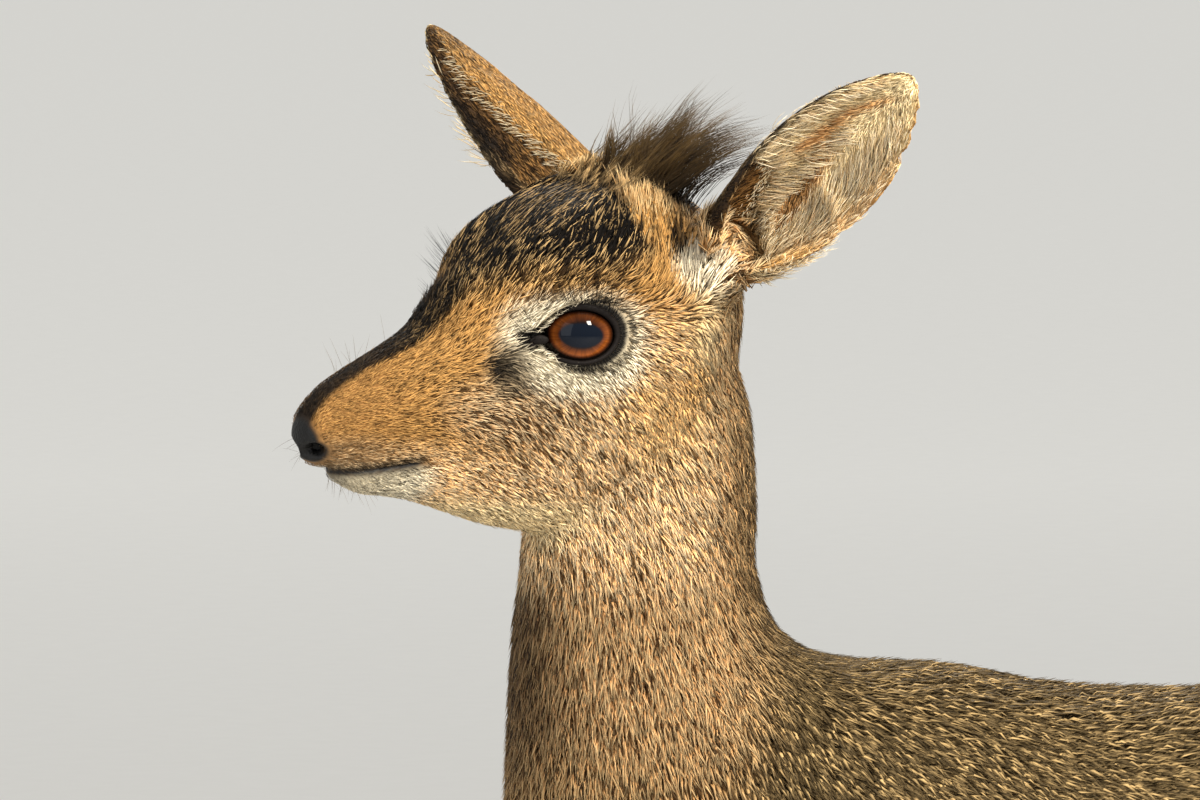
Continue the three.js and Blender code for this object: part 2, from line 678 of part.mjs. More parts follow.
const headPieces = headParts();
const bodyPieces = bodyParts(headPieces.head);
const headGroup = new THREE.Group();
headGroup.applyMatrix4(HEAD_PLACE);
for (const name of ['ear_left', 'ear_right', 'crest']) headGroup.add(meshOf(name, headPieces[name]));
for (const [name, side] of Object.entries(SIDES)) headGroup.add(meshOf(`eye_${name}`, eyeball(side)));

const dikdik = new THREE.Group();
dikdik.add(headGroup);
for (const [name, solid] of Object.entries(bodyPieces)) dikdik.add(meshOf(name, solid));
dikdik.position.set(-MIDDLE.x, -MIDDLE.y, 0);

export default dikdik;
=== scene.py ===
# A life-size female dik-dik that stands with its head turned to its left: skin, coat, eyes and horn.
# Metres. The nose points to -X and the animal's left side faces -Y.

import math

import bmesh
import bpy
import numpy as np
from mathutils import Matrix, Vector
from mathutils.bvhtree import BVHTree


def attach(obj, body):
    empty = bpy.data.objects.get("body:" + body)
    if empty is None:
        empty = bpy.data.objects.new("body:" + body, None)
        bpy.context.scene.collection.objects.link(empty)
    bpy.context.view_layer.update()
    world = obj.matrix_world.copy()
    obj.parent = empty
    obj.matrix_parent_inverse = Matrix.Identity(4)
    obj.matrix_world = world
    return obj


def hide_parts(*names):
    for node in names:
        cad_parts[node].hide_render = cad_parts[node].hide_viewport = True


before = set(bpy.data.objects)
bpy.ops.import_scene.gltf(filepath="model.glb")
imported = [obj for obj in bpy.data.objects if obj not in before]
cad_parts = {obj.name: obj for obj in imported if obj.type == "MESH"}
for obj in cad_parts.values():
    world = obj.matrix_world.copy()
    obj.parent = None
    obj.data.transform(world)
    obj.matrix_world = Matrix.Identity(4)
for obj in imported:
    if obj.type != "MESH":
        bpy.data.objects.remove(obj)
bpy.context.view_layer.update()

MM = 0.001
SIDES = {"left": -1, "right": 1}
SEED = 11
MERGED = 1e-6  # corners of the frame's triangles that lie nearer than this are one

# Head frame: back from the tip of the nose, out to the right, and up
NOSE_TIP = Vector((-0.2301, -0.0419, 0.446))
HEAD_TURN = math.radians(25)
HEAD_ROLL = math.radians(5)
HEAD = (
    Matrix.Translation(NOSE_TIP)
    @ Matrix.Rotation(HEAD_TURN, 4, "Z")
    @ Matrix.Rotation(HEAD_ROLL, 4, "X")
)
HEAD_AXES = np.array(HEAD.to_3x3())

LIMBS = [f"{limb}_{side}" for limb in ("foreleg", "hindleg") for side in SIDES]
FLESH = ["head", "neck", "torso", "tail", "ear_left", "ear_right", *LIMBS]

# Helpers


def linked(name, data):
    """A new object for a mesh, a curve, a lamp or a camera, in the scene."""
    piece = bpy.data.objects.new(name, data)
    bpy.context.scene.collection.objects.link(piece)
    return piece


def evaluated(piece):
    """A new mesh of the piece with its modifiers applied."""
    graph = bpy.context.evaluated_depsgraph_get()
    return bpy.data.meshes.new_from_object(piece.evaluated_get(graph))


def settled(piece):
    """The piece with its modifiers applied."""
    mesh = evaluated(piece)
    piece.modifiers.clear()
    piece.data = mesh
    return piece


def remeshed(piece, voxel):
    """The piece with one new closed surface of even faces."""
    remesh = piece.modifiers.new("remesh", "REMESH")
    remesh.mode = "VOXEL"
    remesh.voxel_size = voxel
    return settled(piece)


def poured(bm, name):
    """A mesh of what a bmesh holds; the bmesh is freed."""
    mesh = bpy.data.meshes.new(name)
    bm.to_mesh(mesh)
    bm.free()
    return mesh


def shade_smooth(mesh):
    mesh.polygons.foreach_set("use_smooth", np.ones(len(mesh.polygons), bool))


def finished(bm, name):
    """A mesh piece from a bmesh, smooth, with its faces turned outwards."""
    bmesh.ops.recalc_face_normals(bm, faces=bm.faces)
    mesh = poured(bm, name)
    shade_smooth(mesh)
    return linked(name, mesh)


def add_node(bm, name, grown=0.0):
    """Adds a node of the frame to a bmesh, its loose triangles joined and its surface grown by so much."""
    part = bmesh.new()
    part.from_mesh(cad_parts[name].data)
    bmesh.ops.remove_doubles(part, verts=part.verts, dist=MERGED)
    part.normal_update()
    for vert in part.verts:
        vert.co += vert.normal * grown
    mesh = poured(part, name + "_copy")
    bm.from_mesh(mesh)
    bpy.data.meshes.remove(mesh)


def read(items, field, width, kind=np.float32):
    """One field of a collection of mesh items, as an array of rows."""
    flat = np.empty(len(items) * width, kind)
    items.foreach_get(field, flat)
    return flat.reshape(-1, width) if width > 1 else flat


def places(mesh):
    return read(mesh.vertices, "co", 3).astype(float)


def set_places(mesh, points):
    mesh.vertices.foreach_set("co", points.astype(np.float32).ravel())
    mesh.update()


def normals(mesh):
    return read(mesh.vertex_normals, "vector", 3).astype(float)


def unit(rows):
    return rows / np.maximum(np.linalg.norm(rows, axis=-1, keepdims=True), 1e-12)


def laid(ways, normal):
    """Ways laid flat on a surface that faces along the normals."""
    return unit(ways - normal * (ways * normal).sum(1, keepdims=True))


def mirrored(points):
    """Points folded onto the right side."""
    return points * [1, 0, 1] + np.abs(points) * [0, 1, 0]


def in_head(points):
    """Points of the frame in the head's own frame, in millimetres."""
    return (np.asarray(points) - np.array(NOSE_TIP)) @ HEAD_AXES / MM


def from_head(points):
    """Points of the head's own frame, in millimetres, as points of the frame."""
    return np.asarray(points, float) * MM @ HEAD_AXES.T + np.array(NOSE_TIP)


def ramp(value, low, high):
    """Rises smoothly from 0 at low to 1 at high, or falls where high is the lower."""
    share = np.clip((value - low) / (high - low), 0, 1)
    return share * share * (3 - 2 * share)


def spot(points, centre, reach, soft=0.5):
    """1 inside an ellipsoid, falling smoothly to 0 around it."""
    far = np.sqrt((((points - np.array(centre)) / np.array(reach)) ** 2).sum(1))
    return ramp(far, 1 + soft / 2, 1 - soft / 2)


def band(value, width):
    """1 where the value is 0, falling to 0 on both sides of it."""
    return np.exp(-((value / width) ** 2))


def drawn(rng, low, span, *shape):
    """Random numbers from low to low + span."""
    return low + span * rng.random(shape)


def mixed(colours, colour, share):
    return colours + (np.asarray(colour) - colours) * np.asarray(share)[:, None]


def tone(red, green, blue):
    """A colour given as a painter reads it, 0 to 255, as light."""
    value = np.array([red, green, blue]) / 255
    return np.where(value < 0.04045, value / 12.92, ((value + 0.055) / 1.055) ** 2.4)


# Ears: the frame of each, with x across the leaf, y the way the cup opens and z to the tip

EAR_ROOT = (113, 21, 42)
EAR_LENGTH = 78
EAR_CUT = 8
EAR_REACH = 32  # the leaf stays this near to a line 3 mm behind the ear's own axis
EAR_AXIS = {"left": (19.5, -53.1, 53.7), "right": (-25, 56.5, 50.8)}
EAR_OPEN = (-0.5, 0.86, -0.06)


def ear_frame(side):
    """Origin and axes of an ear, in the head's frame."""
    sign = SIDES[side]
    axis = unit(np.array(EAR_AXIS[side], float))
    opening = np.array(EAR_OPEN) * [1, sign, 1]
    opening = unit(opening - axis * (opening @ axis))
    origin = np.array(EAR_ROOT, float) * [1, sign, 1]
    return origin, np.array([np.cross(opening, axis), opening, axis])


EARS = {side: ear_frame(side) for side in SIDES}


def in_ear(head_points, side):
    origin, axes = EARS[side]
    return (head_points - origin) @ axes.T


def round_ear(local):
    return np.hypot(local[:, 0], local[:, 1] + 3) < EAR_REACH


# Skin

WARP_CENTRE = from_head([[62, 0, 20]])[0]
WARP_FINE = 0.09  # within this reach the skin keeps the finest faces
WARP_SHRINK = 0.3
VOXEL = 0.0008
SMOOTH = {"forms": 26, "all": 5, "all_weight": 0.6}
CLOSING = 0.0003  # each piece of flesh grows by this, so that the thin cuts close
SKIN_FACES = 185_000


def warp(points, back=False):
    """Draws in all that lies far from the head, so that one remesh gives the head finer faces."""
    arm = points - WARP_CENTRE
    far = np.linalg.norm(arm, axis=1)
    beyond = np.maximum(far - WARP_FINE, 0)
    scaled = beyond / WARP_SHRINK if back else beyond * WARP_SHRINK
    new = np.minimum(far, WARP_FINE) + scaled
    return WARP_CENTRE + arm * (new / np.maximum(far, 1e-9))[:, None]


def flesh():
    """The fleshy nodes of the frame in one mesh, each grown a little over its thin cuts."""
    joined = bmesh.new()
    for name in FLESH:
        add_node(joined, name, CLOSING)
    return poured(joined, "skin")


def weigh(piece, name, weights, steps=20):
    """A vertex group with these weights, in so many steps."""
    group = piece.vertex_groups.new(name=name)
    levels = np.round(weights * steps).astype(int)
    for level in np.unique(levels):
        group.add(np.flatnonzero(levels == level).tolist(), level / steps, "REPLACE")
    return name


def smoothed(piece, weights, rounds):
    smooth = piece.modifiers.new("smooth", "SMOOTH")
    smooth.factor = 0.5
    smooth.iterations = rounds
    smooth.vertex_group = weigh(piece, "smooth", weights)
    settled(piece)
    piece.vertex_groups.clear()


EYE = (75.6, 16.2, 26)
EYE_RADIUS = 10.5
EYE_BULGE = 0.09  # how far the clear front stands out, by the radius
GAZE = math.radians(60)  # out from straight ahead
IRIS = (8.1, 5.9)
PUPIL = (5.6, 3.1)
FIBRES = 15
IRIS_SHADES = [
    (0.0, (0.010, 0.004, 0.002)),
    (0.56, (0.020, 0.007, 0.003)),
    (0.70, (0.12, 0.030, 0.006)),
    (0.84, (0.23, 0.060, 0.010)),
    (0.93, (0.07, 0.018, 0.005)),
    (1.0, (0.006, 0.004, 0.003)),
]
LID = {"half": 9.2, "high": 7.0, "duct": 3.6, "drop": 2.6, "roll": 0.8, "over": 0.85}
NOSTRIL = (5.6, 4.6, -3.6)
NOSTRIL_DEPTH = (8.2, 1.8, -2.6)
MOUTH = {"front": 12, "corner": 36, "front_high": -8.8, "corner_high": -6.2, "sag": -0.4}
GLAND = (51.6, 17.4, 17)
PRESSED = {"mouth": 1.7, "lip": 0.5, "nostril": 3.2, "gland": 1.0}  # how deep each is, in millimetres


def mouth_high(back):
    """How high the line of the mouth lies."""
    share = (back - MOUTH["front"]) / (MOUTH["corner"] - MOUTH["front"])
    rise = (MOUTH["corner_high"] - MOUTH["front_high"]) * share
    return MOUTH["front_high"] + rise + MOUTH["sag"] * np.sin(np.clip(share, 0, 1) * math.pi)


def is_ear(head_points):
    """1 on the ears, 0 elsewhere."""
    found = np.zeros(len(head_points))
    for side in SIDES:
        local = in_ear(head_points, side)
        found = np.maximum(found, round_ear(local) * ramp(local[:, 2], EAR_CUT - 3, EAR_CUT + 2))
    return found


TAIL_FROM = 212
COAT_DEPTH = {"neck": 3.2, "ear": 0.35}
EYE_PRESS = (0.75, (13, 14, 10.5))  # how much thinner the coat is round the eye, and how far


def coat_depth(points):
    """How far the coat stands over the skin, in millimetres."""
    head = in_head(points)
    folded = mirrored(head)
    up = points[:, 2] / MM
    on_body = 0.5 + 0.8 * ramp(up, 20, 60) + 3.4 * ramp(up, 150, 270)
    on_body = on_body * (1 - 0.65 * ramp(points[:, 0] / MM, TAIL_FROM - 4, TAIL_FROM + 4))
    on_head = 0.7 + 1.5 * ramp(folded[:, 0], 18, 62)
    depth = on_body + (COAT_DEPTH["neck"] - on_body) * ramp(up, 345, 395)
    depth = depth + (on_head - depth) * ramp(folded[:, 0], 112, 92) * ramp(up, 400, 424)
    depth = depth * (1 - EYE_PRESS[0] * spot(folded, EYE, EYE_PRESS[1]))
    return depth + (COAT_DEPTH["ear"] - depth) * is_ear(head)


def inward(mesh, amount):
    """Moves the points of a mesh in along its normals, by so many millimetres each."""
    set_places(mesh, places(mesh) - normals(mesh) * amount[:, None] * MM)


def sculpted(head):
    """How deep the mouth, nostrils and gland are pressed into the skin, in millimetres."""
    folded = mirrored(head)
    back, _, up = folded.T
    over = up - mouth_high(back)
    mouth = PRESSED["mouth"] * band(over, 0.75) * ramp(back, MOUTH["corner"] + 1.5, MOUTH["corner"] - 6)
    depth = mouth * ramp(back, 3, 8)
    depth -= PRESSED["lip"] * band(over + 2.4, 1.2) * ramp(back, 38, 26) * ramp(back, 5, 9)
    hole = spot(folded, NOSTRIL, (2.9, 3.6, 2.0), 0.9)
    pit = spot(folded, GLAND, (1.9, 6, 1.9), 0.9)
    return depth + PRESSED["nostril"] * hole + PRESSED["gland"] * pit


def make_skin():
    piece = linked("skin", flesh())
    set_places(piece.data, warp(places(piece.data)))
    remeshed(piece, VOXEL)
    set_places(piece.data, warp(places(piece.data), back=True))

    points = places(piece.data)
    head = in_head(points)
    lids = spot(mirrored(head), EYE, (15.5, 15, 12), 0.3)
    along, up = points[:, 0] / MM, points[:, 2] / MM
    thick = (0.15 + 0.85 * ramp(up, 26, 50)) * (1 - 0.85 * ramp(along, TAIL_FROM - 6, TAIL_FROM + 2))
    smoothed(piece, (1 - is_ear(head)) * (1 - lids) * thick, SMOOTH["forms"])
    smoothed(piece, np.ones(len(head)) * SMOOTH["all_weight"], SMOOTH["all"])

    decimate = piece.modifiers.new("decimate", "DECIMATE")
    decimate.ratio = min(1, SKIN_FACES / (2 * len(piece.data.polygons)))
    points = places(piece.data)
    head = in_head(points)
    fine = np.maximum(ramp(head[:, 0], 75, 50), spot(mirrored(head), EYE, (24, 20, 22)))
    decimate.vertex_group = weigh(piece, "coarse", 1 - fine * ramp(points[:, 2] / MM, 400, 420))
    decimate.use_collapse_triangulate = True
    settled(piece)
    piece.vertex_groups.clear()
    points = places(piece.data)
    inward(piece.data, coat_depth(points) + sculpted(in_head(points)))
    return piece


def unwrapped(piece):
    """The skin cut open and laid flat, for the baked colours."""
    bpy.ops.object.select_all(action="DESELECT")
    bpy.context.view_layer.objects.active = piece
    piece.select_set(True)
    bpy.ops.object.mode_set(mode="EDIT")
    bpy.ops.mesh.select_all(action="SELECT")
    bpy.ops.uv.smart_project(angle_limit=math.radians(66), island_margin=0.002)
    bpy.ops.object.mode_set(mode="OBJECT")
    piece.data.uv_layers.active.name = "OFBake"


# Markings, the same on skin and coat

# Each look: colour at the root, in the middle and at the tip, 0 to 255, and the share of dark hairs
PAINTS = {
    "tan": ((142, 100, 58), (224, 172, 110), (255, 242, 206), 0.17),
    "orange": ((120, 82, 42), (160, 117, 63), (196, 154, 94), 0.07),
    "gold": ((140, 96, 50), (212, 160, 94), (255, 226, 168), 0.08),
    "flecked": ((66, 46, 30), (166, 124, 80), (255, 236, 196), 0.36),
    "white": ((156, 144, 120), (218, 206, 178), (246, 238, 216), 0.05),
    "cream": ((172, 146, 102), (224, 198, 148), (250, 234, 194), 0.02),
    "ochre": ((140, 88, 46), (196, 142, 84), (228, 186, 132), 0.02),
    "dark": ((12, 10, 8), (24, 19, 14), (52, 40, 27), 0.6),
    "black": ((8, 7, 7), (13, 12, 11), (22, 19, 16), 1.0),
    "grizzle": ((10, 8, 6), (30, 22, 14), (240, 200, 138), 0.73),
    "neck": ((96, 62, 30), (156, 108, 60), (248, 218, 166), 0.15),
    # painted shadow of the head on the front of the neck
    "throat_shadow": ((34, 24, 15), (60, 43, 27), (120, 94, 62), 0.3),
    "back": ((24, 18, 12), (178, 150, 102), (34, 26, 17), 0.5),
    "flank": ((76, 52, 30), (146, 106, 62), (230, 198, 144), 0.25),
    "belly": ((170, 154, 126), (220, 206, 178), (242, 232, 210), 0.02),
    "leg": ((116, 78, 40), (186, 136, 80), (216, 174, 116), 0.08),
    "shadow": ((60, 52, 40), (104, 90, 70), (164, 146, 116), 0.3),
    "crest": ((32, 23, 12), (54, 40, 20), (102, 79, 42), 0.3),
    "poll": ((92, 58, 26), (184, 132, 70), (250, 220, 164), 0.14),
    "stalk": ((60, 40, 20), (112, 78, 40), (160, 118, 66), 0.3),
    "ear_back": ((110, 76, 40), (184, 138, 78), (222, 180, 118), 0.08),
}
LOOKS = {name: ([tone(*colour) for colour in colours], dark) for name, (*colours, dark) in PAINTS.items()}


class Markings:
    """Colours of hair or skin at some points: root, middle, tip and the share of dark hairs."""

    def __init__(self, count, look):
        colours, dark = LOOKS[look]
        self.rows = [np.tile(colour, (count, 1)) for colour in colours]
        self.dark = np.full(count, dark)

    def join(self, rows, dark, share):
        """Lays other colours over these, by a share at each point."""
        self.rows = [mixed(mine, theirs, share) for mine, theirs in zip(self.rows, rows)]
        self.dark = self.dark + (dark - self.dark) * share

    def lay(self, look, share):
        self.join(*LOOKS[look], share)

    def dab(self, points, spots):
        """Lays spots one after another: look, centre, reach, softness and share of each."""
        for look, centre, reach, soft, share in spots:
            self.lay(look, spot(points, centre, reach, soft) * share)

    def lit(self, rng, low, span):
        """The colours of each hair, made lighter or darker by chance."""
        return np.stack(self.rows, 1) * drawn(rng, low, span, len(self.dark), 1, 1)


def stripe_half(back):
    """Half width of the dark stripe along the top of the snout."""
    return 3.6 + 1.4 * ramp(back, 16, 36)


def forehead_edge(back, out):
    """How high on the head the dark grizzled hair of the forehead begins."""
    return 20.5 + 0.6 * (np.clip(back, 30, 60) - 30) + 0.11 * out * ramp(back, 45, 57)


def ear_edge(local, side):
    """How far points of an ear lie in from its front rim and from its rear rim."""
    levels, low, high = EAR_RIMS[side]
    front = -SIDES[side] * local[:, 0]
    return np.interp(local[:, 2], levels, high) - front, front - np.interp(local[:, 2], levels, low)


def ear_mouth(tall):
    """How far to the front the hollow of the ear opens, level by level: in front of it stands the stalk."""
    return np.interp(tall, (5, 16, 25, 36), (-2, 3, 6, 17))


EAR_RIMS = {}


def measure_ears(points):
    """Where the front and rear rims of each ear lie, level by level."""
    head = in_head(points)
    levels = np.arange(EAR_CUT + 3, EAR_LENGTH - 1, 4.0)
    for side in SIDES:
        local = in_ear(head, side)
        near = round_ear(local) & (local[:, 2] > EAR_CUT)
        front = -SIDES[side] * local[:, 0]
        rows = [front[near & (np.abs(local[:, 2] - level) < 2.5)] for level in levels]
        EAR_RIMS[side] = levels, [row.min() for row in rows], [row.max() for row in rows]


def body_look(points, turned):
    along, _, up = (points / MM).T
    look = Markings(len(points), "flank")
    look.lay("back", ramp(up, 300, 350))
    look.lay("belly", ramp(up, 275, 250) * ramp(up, 205, 235) * ramp(turned[:, 2], 0.1, -0.5))
    look.lay("leg", ramp(up, 262, 225))
    inner = ramp(turned[:, 1] * np.sign(points[:, 1]), 0.2, -0.5)
    look.lay("belly", ramp(up, 262, 235) * ramp(up, 120, 200) * inner)
    look.lay("shadow", ramp(up, 60, 22) * 0.6)
    look.lay("flank", ramp(along, -106, -130) * ramp(up, 250, 300))
    neck = ramp(up, 345, 385) * ramp(along, -98, -120)
    look.lay("neck", neck)
    # the front of the neck painted dark: painted shadow of the head
    look.lay("throat_shadow", neck * ramp(along, -146, -162) * 0.8)
    return look


# Spots on the folded head: look, centre, reach, softness and share
CHEEK_SPOTS = [
    ("flecked", (80, 20, -4), (30, 16, 14), 1.0, 0.25),
    ("gold", (98, 24, 14), (14, 14, 20), 1.0, 0.8),
]
TEMPLE_SPOTS = [
    ("orange", (94, 22, 40), (16, 14, 16), 0.9, 1),
    ("orange", (68, 18, 40), (26, 16, 8), 0.8, 1),
    ("orange", (100, 24, 24), (12, 14, 12), 1.0, 0.6),
    ("flecked", (56, 16, 7), (17, 14, 8), 1.0, 0.85),
    ("shadow", (14, 8, -4), (13, 10, 4.5), 1.2, 0.45),
]
CHIN_SPOT = ("dark", (13, 0, -13), (4.5, 8, 3), 0.9, 0.7)
BROW_SPOT = ("grizzle", (66, 18, 40), (22, 16, 6), 0.9, 0.5)
EYE_SPOTS = [
    ("white", (70.6, 20, 23.4), (20.6, 18, 12.2), 0.4, 1),
    ("tan", (95, 24, 23), (7, 8, 9), 1.0, 0.6),
    ("shadow", (53, 17, 17.0), (6.5, 8, 6.0), 0.9, 0.9),
    ("dark", (51.2, 17, 17), (2.8, 8, 2.8), 0.8, 0.7),
    ("black", GLAND, (2.4, 6, 2.4), 0.8, 1),
]
EAR_FOOT_SPOTS = [
    ("orange", (96, 17, 52), (7, 9, 11), 0.7, 1),
    ("dark", (106, 10, 57), (7, 12, 9), 0.8, 0.9),
    ("cream", (110, 26, 28), (8, 9, 10), 0.9, 0.7),
    ("white", (105, 26, 38), (7, 9, 6), 0.7, 0.85),
    ("dark", (100.5, 23, 44), (2.6, 6, 4.6), 0.8, 0.9),
]
# On the right side of the brow alone, where it makes the outline dark as seen from the camera
FAR_BROW = ("dark", (40, 7, 28), (17, 5.5, 13), 0.5, 0.9)


def skull_look(folded, turned):
    """The markings of the head, given points folded onto its right side."""
    back, out, high = folded.T
    look = Markings(len(folded), "tan")
    look.dab(folded, CHEEK_SPOTS)
    look.lay("orange", ramp(back, 74, 50) * ramp(high, -8, 2))
    look.dab(folded, TEMPLE_SPOTS)
    under_jaw = ramp(high, -12, -19) * ramp(back, 30, 46) * ramp(back, 92, 74)
    look.lay("cream", under_jaw * ramp(turned[:, 2], 0.1, -0.4))
    over = high - mouth_high(back)
    look.lay("white", ramp(over, -0.3, -1.2) * ramp(back, 42, 34))
    look.dab(folded, [CHIN_SPOT])
    lip = ramp(back, 38, 34)
    look.lay("shadow", lip * band(over - 1.6, 1.5) * 0.75)
    look.lay("dark", lip * band(over + 0.3, 1.3) * 0.9)
    look.lay("black", lip * np.clip(1.5 * band(over, 0.7), 0, 1))
    stripe = ramp(out, stripe_half(back) + 0.9, stripe_half(back) - 0.9) * ramp(high, 0.5, 4)
    look.lay("dark", stripe * ramp(back, 66, 52) * 0.95)
    above = high - forehead_edge(back, out)
    look.lay("grizzle", ramp(above, -2.5, 3) * ramp(back, 28, 36) * ramp(back, 102, 88))
    look.dab(folded, [BROW_SPOT])
    crown = ramp(above, 0, 7) * ramp(out, 11, 3) * ramp(back, 34, 44) * ramp(back, 102, 90)
    look.lay("dark", crown * 0.4)
    look.dab(folded, EYE_SPOTS + EAR_FOOT_SPOTS)
    look.lay("black", nose_pad(folded))
    look.lay("black", spot(folded, NOSTRIL_DEPTH, (3.4, 2.6, 2.8), 0.3))
    look.lay("black", lid_skin(folded))
    return look


def ear_look(local, side, turned):
    """The markings of an ear: pale with ochre hollows inside and darker deep in the cup as painted shade;
    tan with dark edges behind, and a dark strip behind the front rim that is the rim's own brown with
    painted shade.
    """
    facing = (turned @ HEAD_AXES) @ EARS[side][1][1]
    inside = ramp(facing, -0.15, 0.25)
    from_front, from_rear = ear_edge(local, side)
    front, tall = -SIDES[side] * local[:, 0], local[:, 2]
    look = Markings(len(local), "ear_back")
    # On the back, a dark strip along the front rim: the brown of the rolled rim, darkened as painted shade
    # of its shaded inner side
    look.lay("stalk", (1 - inside) * ramp(from_front, 5, 3.5) * 0.9)
    look.lay("dark", (1 - inside) * ramp(from_front, 3.5, 0.5) * ramp(tall, 20, 34) * 0.75)
    look.lay("dark", (1 - inside) * ramp(tall, 52, 74) * ramp(from_rear, 2, 5) * 0.4)
    look.lay("cream", inside)
    outer = inside * ramp(front - ear_mouth(tall), -1, 1)
    inside = inside - outer
    look.lay("stalk", outer)
    look.lay("dark", outer * ramp(from_front, 5, 1) * 0.8)
    high_hollow = np.interp(tall, (38, 56, 68), (6.5, 4.5, -2))
    first = band(front - high_hollow, 1.8) * ramp(tall, 30, 40) * ramp(tall, 70, 62)
    low_hollow = np.interp(tall, (16, 30, 44), (-6, -3, 2))
    second = band(front - low_hollow, 2.8) * ramp(tall, 10, 18) * ramp(tall, 50, 40)
    look.lay("ochre", inside * np.clip(first + second * 1.3, 0, 1))
    # darker deep in the lower hollow: painted shade
    look.lay("stalk", inside * np.clip(1.6 * second - 0.6, 0, 1) * ramp(tall, 40, 30) * 0.8)
    look.lay("ochre", inside * ramp(from_rear, 4, 1) * ramp(tall, 10, 20) * ramp(tall, 60, 48) * 0.6)
    # darker at the bottom of the cup: painted shade
    look.lay("dark", inside * spot(local * [1, 0, 1], (0, 0, 6), (5, 1, 8), 0.9) * 0.85)
    look.lay("dark", ramp(from_front, 1.1, 0.2) * ramp(tall, 24, 36) * 0.8)
    return look


def markings(points, turned):
    """The animal's markings at points of the frame, with the way each point faces."""
    head = in_head(points)
    folded = mirrored(head)
    look = body_look(points, turned)
    skull = skull_look(folded, turned @ HEAD_AXES)
    skull.dab(head, [FAR_BROW])
    look.join(skull.rows, skull.dark, ramp(folded[:, 0], 118, 106) * ramp(points[:, 2] / MM, 402, 420))
    for side in SIDES:
        local = in_ear(head, side)
        ear = ear_look(local, side, turned)
        look.join(ear.rows, ear.dark, round_ear(local) * ramp(local[:, 2], EAR_CUT - 2, EAR_CUT + 4))
    return look


def lid_skin(folded):
    """The black skin round the eye, drawn out to a point at its front corner."""
    return np.maximum(
        spot(folded, (74.6, 20, 26), (11.2, 16, 8.6), 0.25),
        spot(folded, (60.5, 18, 24.3), (5.6, 8, 2.3), 0.4),
    )


def nose_pad(folded):
    """Where the bare skin of the nose lies: from above the nostrils down to the upper lip."""
    back, _, high = folded.T
    front = ramp(back + 0.35 * np.maximum(high, 0), 8.0, 6.4) * ramp(high, -9.4, -8.2)
    return np.maximum(front, spot(folded, NOSTRIL, (4.6, 6, 3.6), 0.4))


def bare(points):
    """1 on bare skin: nose, lips, lids and the glands."""
    folded = mirrored(in_head(points))
    back, _, high = folded.T
    lip = band(high - mouth_high(back), 0.8) * ramp(back, 39, 35)
    lids = spot(folded, (75.0, 20, 26), (10.4, 16, 8.0), 0.2)
    return np.clip(nose_pad(folded) + lip + lids + spot(folded, GLAND, (2.0, 6, 2.0), 0.5), 0, 1)


def coloured(mesh, name, colours):
    """A colour for each point of a mesh."""
    layer = mesh.color_attributes.new(name, "FLOAT_COLOR", "POINT")
    rows = np.ones((len(colours), 4), np.float32)
    rows[:, :3] = colours
    layer.data.foreach_set("color", rows.ravel())


def valued(mesh, name, values):
    layer = mesh.attributes.new(name, "FLOAT", "POINT")
    layer.data.foreach_set("value", values.astype(np.float32))


# Materials


def feed(tree, made, inputs):
    """Gives inputs of a node what they take: a number, a colour, or the output of another node."""
    for name, value in inputs.items():
        if isinstance(value, bpy.types.NodeSocket):
            tree.links.new(value, made.inputs[name])
        else:
            made.inputs[name].default_value = value


def node(tree, kind, inputs, **settings):
    made = tree.nodes.new(kind)
    for name, value in settings.items():
        setattr(made, name, value)
    feed(tree, made, inputs)
    return made


def material(name, roughness, specular=0.5):
    made = bpy.data.materials.new(name)
    made.use_nodes = True
    shader = made.node_tree.nodes["Principled BSDF"]
    feed(made.node_tree, shader, {"Roughness": roughness, "Specular IOR Level": specular})
    return made, made.node_tree, shader


def attribute(tree, name, output="Color"):
    return node(tree, "ShaderNodeAttribute", {}, attribute_name=name).outputs[output]


def object_coordinates(tree):
    return node(tree, "ShaderNodeTexCoord", {}).outputs["Object"]


def noise(tree, coordinates, scale, detail):
    inputs = {"Vector": coordinates, "Scale": scale, "Detail": detail}
    return node(tree, "ShaderNodeTexNoise", inputs).outputs["Fac"]


def carried(tree, value, ends, **settings):
    """A value carried from one span to another, given the ends of the spans that aren't 0 or 1."""
    return node(tree, "ShaderNodeMapRange", {"Value": value, **ends}, **settings).outputs["Result"]


def vector_math(tree, operation, inputs, output="Vector"):
    return node(tree, "ShaderNodeVectorMath", inputs, operation=operation).outputs[output]


def length_of(tree, vector):
    return vector_math(tree, "LENGTH", {0: vector}, "Value")


def varied(tree, colour, amount, factor):
    """A colour made lighter and darker by a pattern."""
    light = carried(tree, factor, {"To Min": 1 - amount, "To Max": 1 + amount})
    return vector_math(tree, "SCALE", {0: colour, "Scale": light})


def shaded(tree, factor, stops):
    """The colour at a factor, between stops that each give a place and a colour."""
    made = node(tree, "ShaderNodeValToRGB", {"Fac": factor})
    elements = made.color_ramp.elements
    for i, (at, colour) in enumerate(stops):
        element = elements[i] if i < 2 else elements.new(at)
        element.position = at
        element.color = (*colour, 1)
    return made.outputs["Color"]


def bumped(tree, shader, height, strength, distance):
    inputs = {"Height": height, "Strength": strength, "Distance": distance}
    feed(tree, shader, {"Normal": node(tree, "ShaderNodeBump", inputs).outputs["Normal"]})


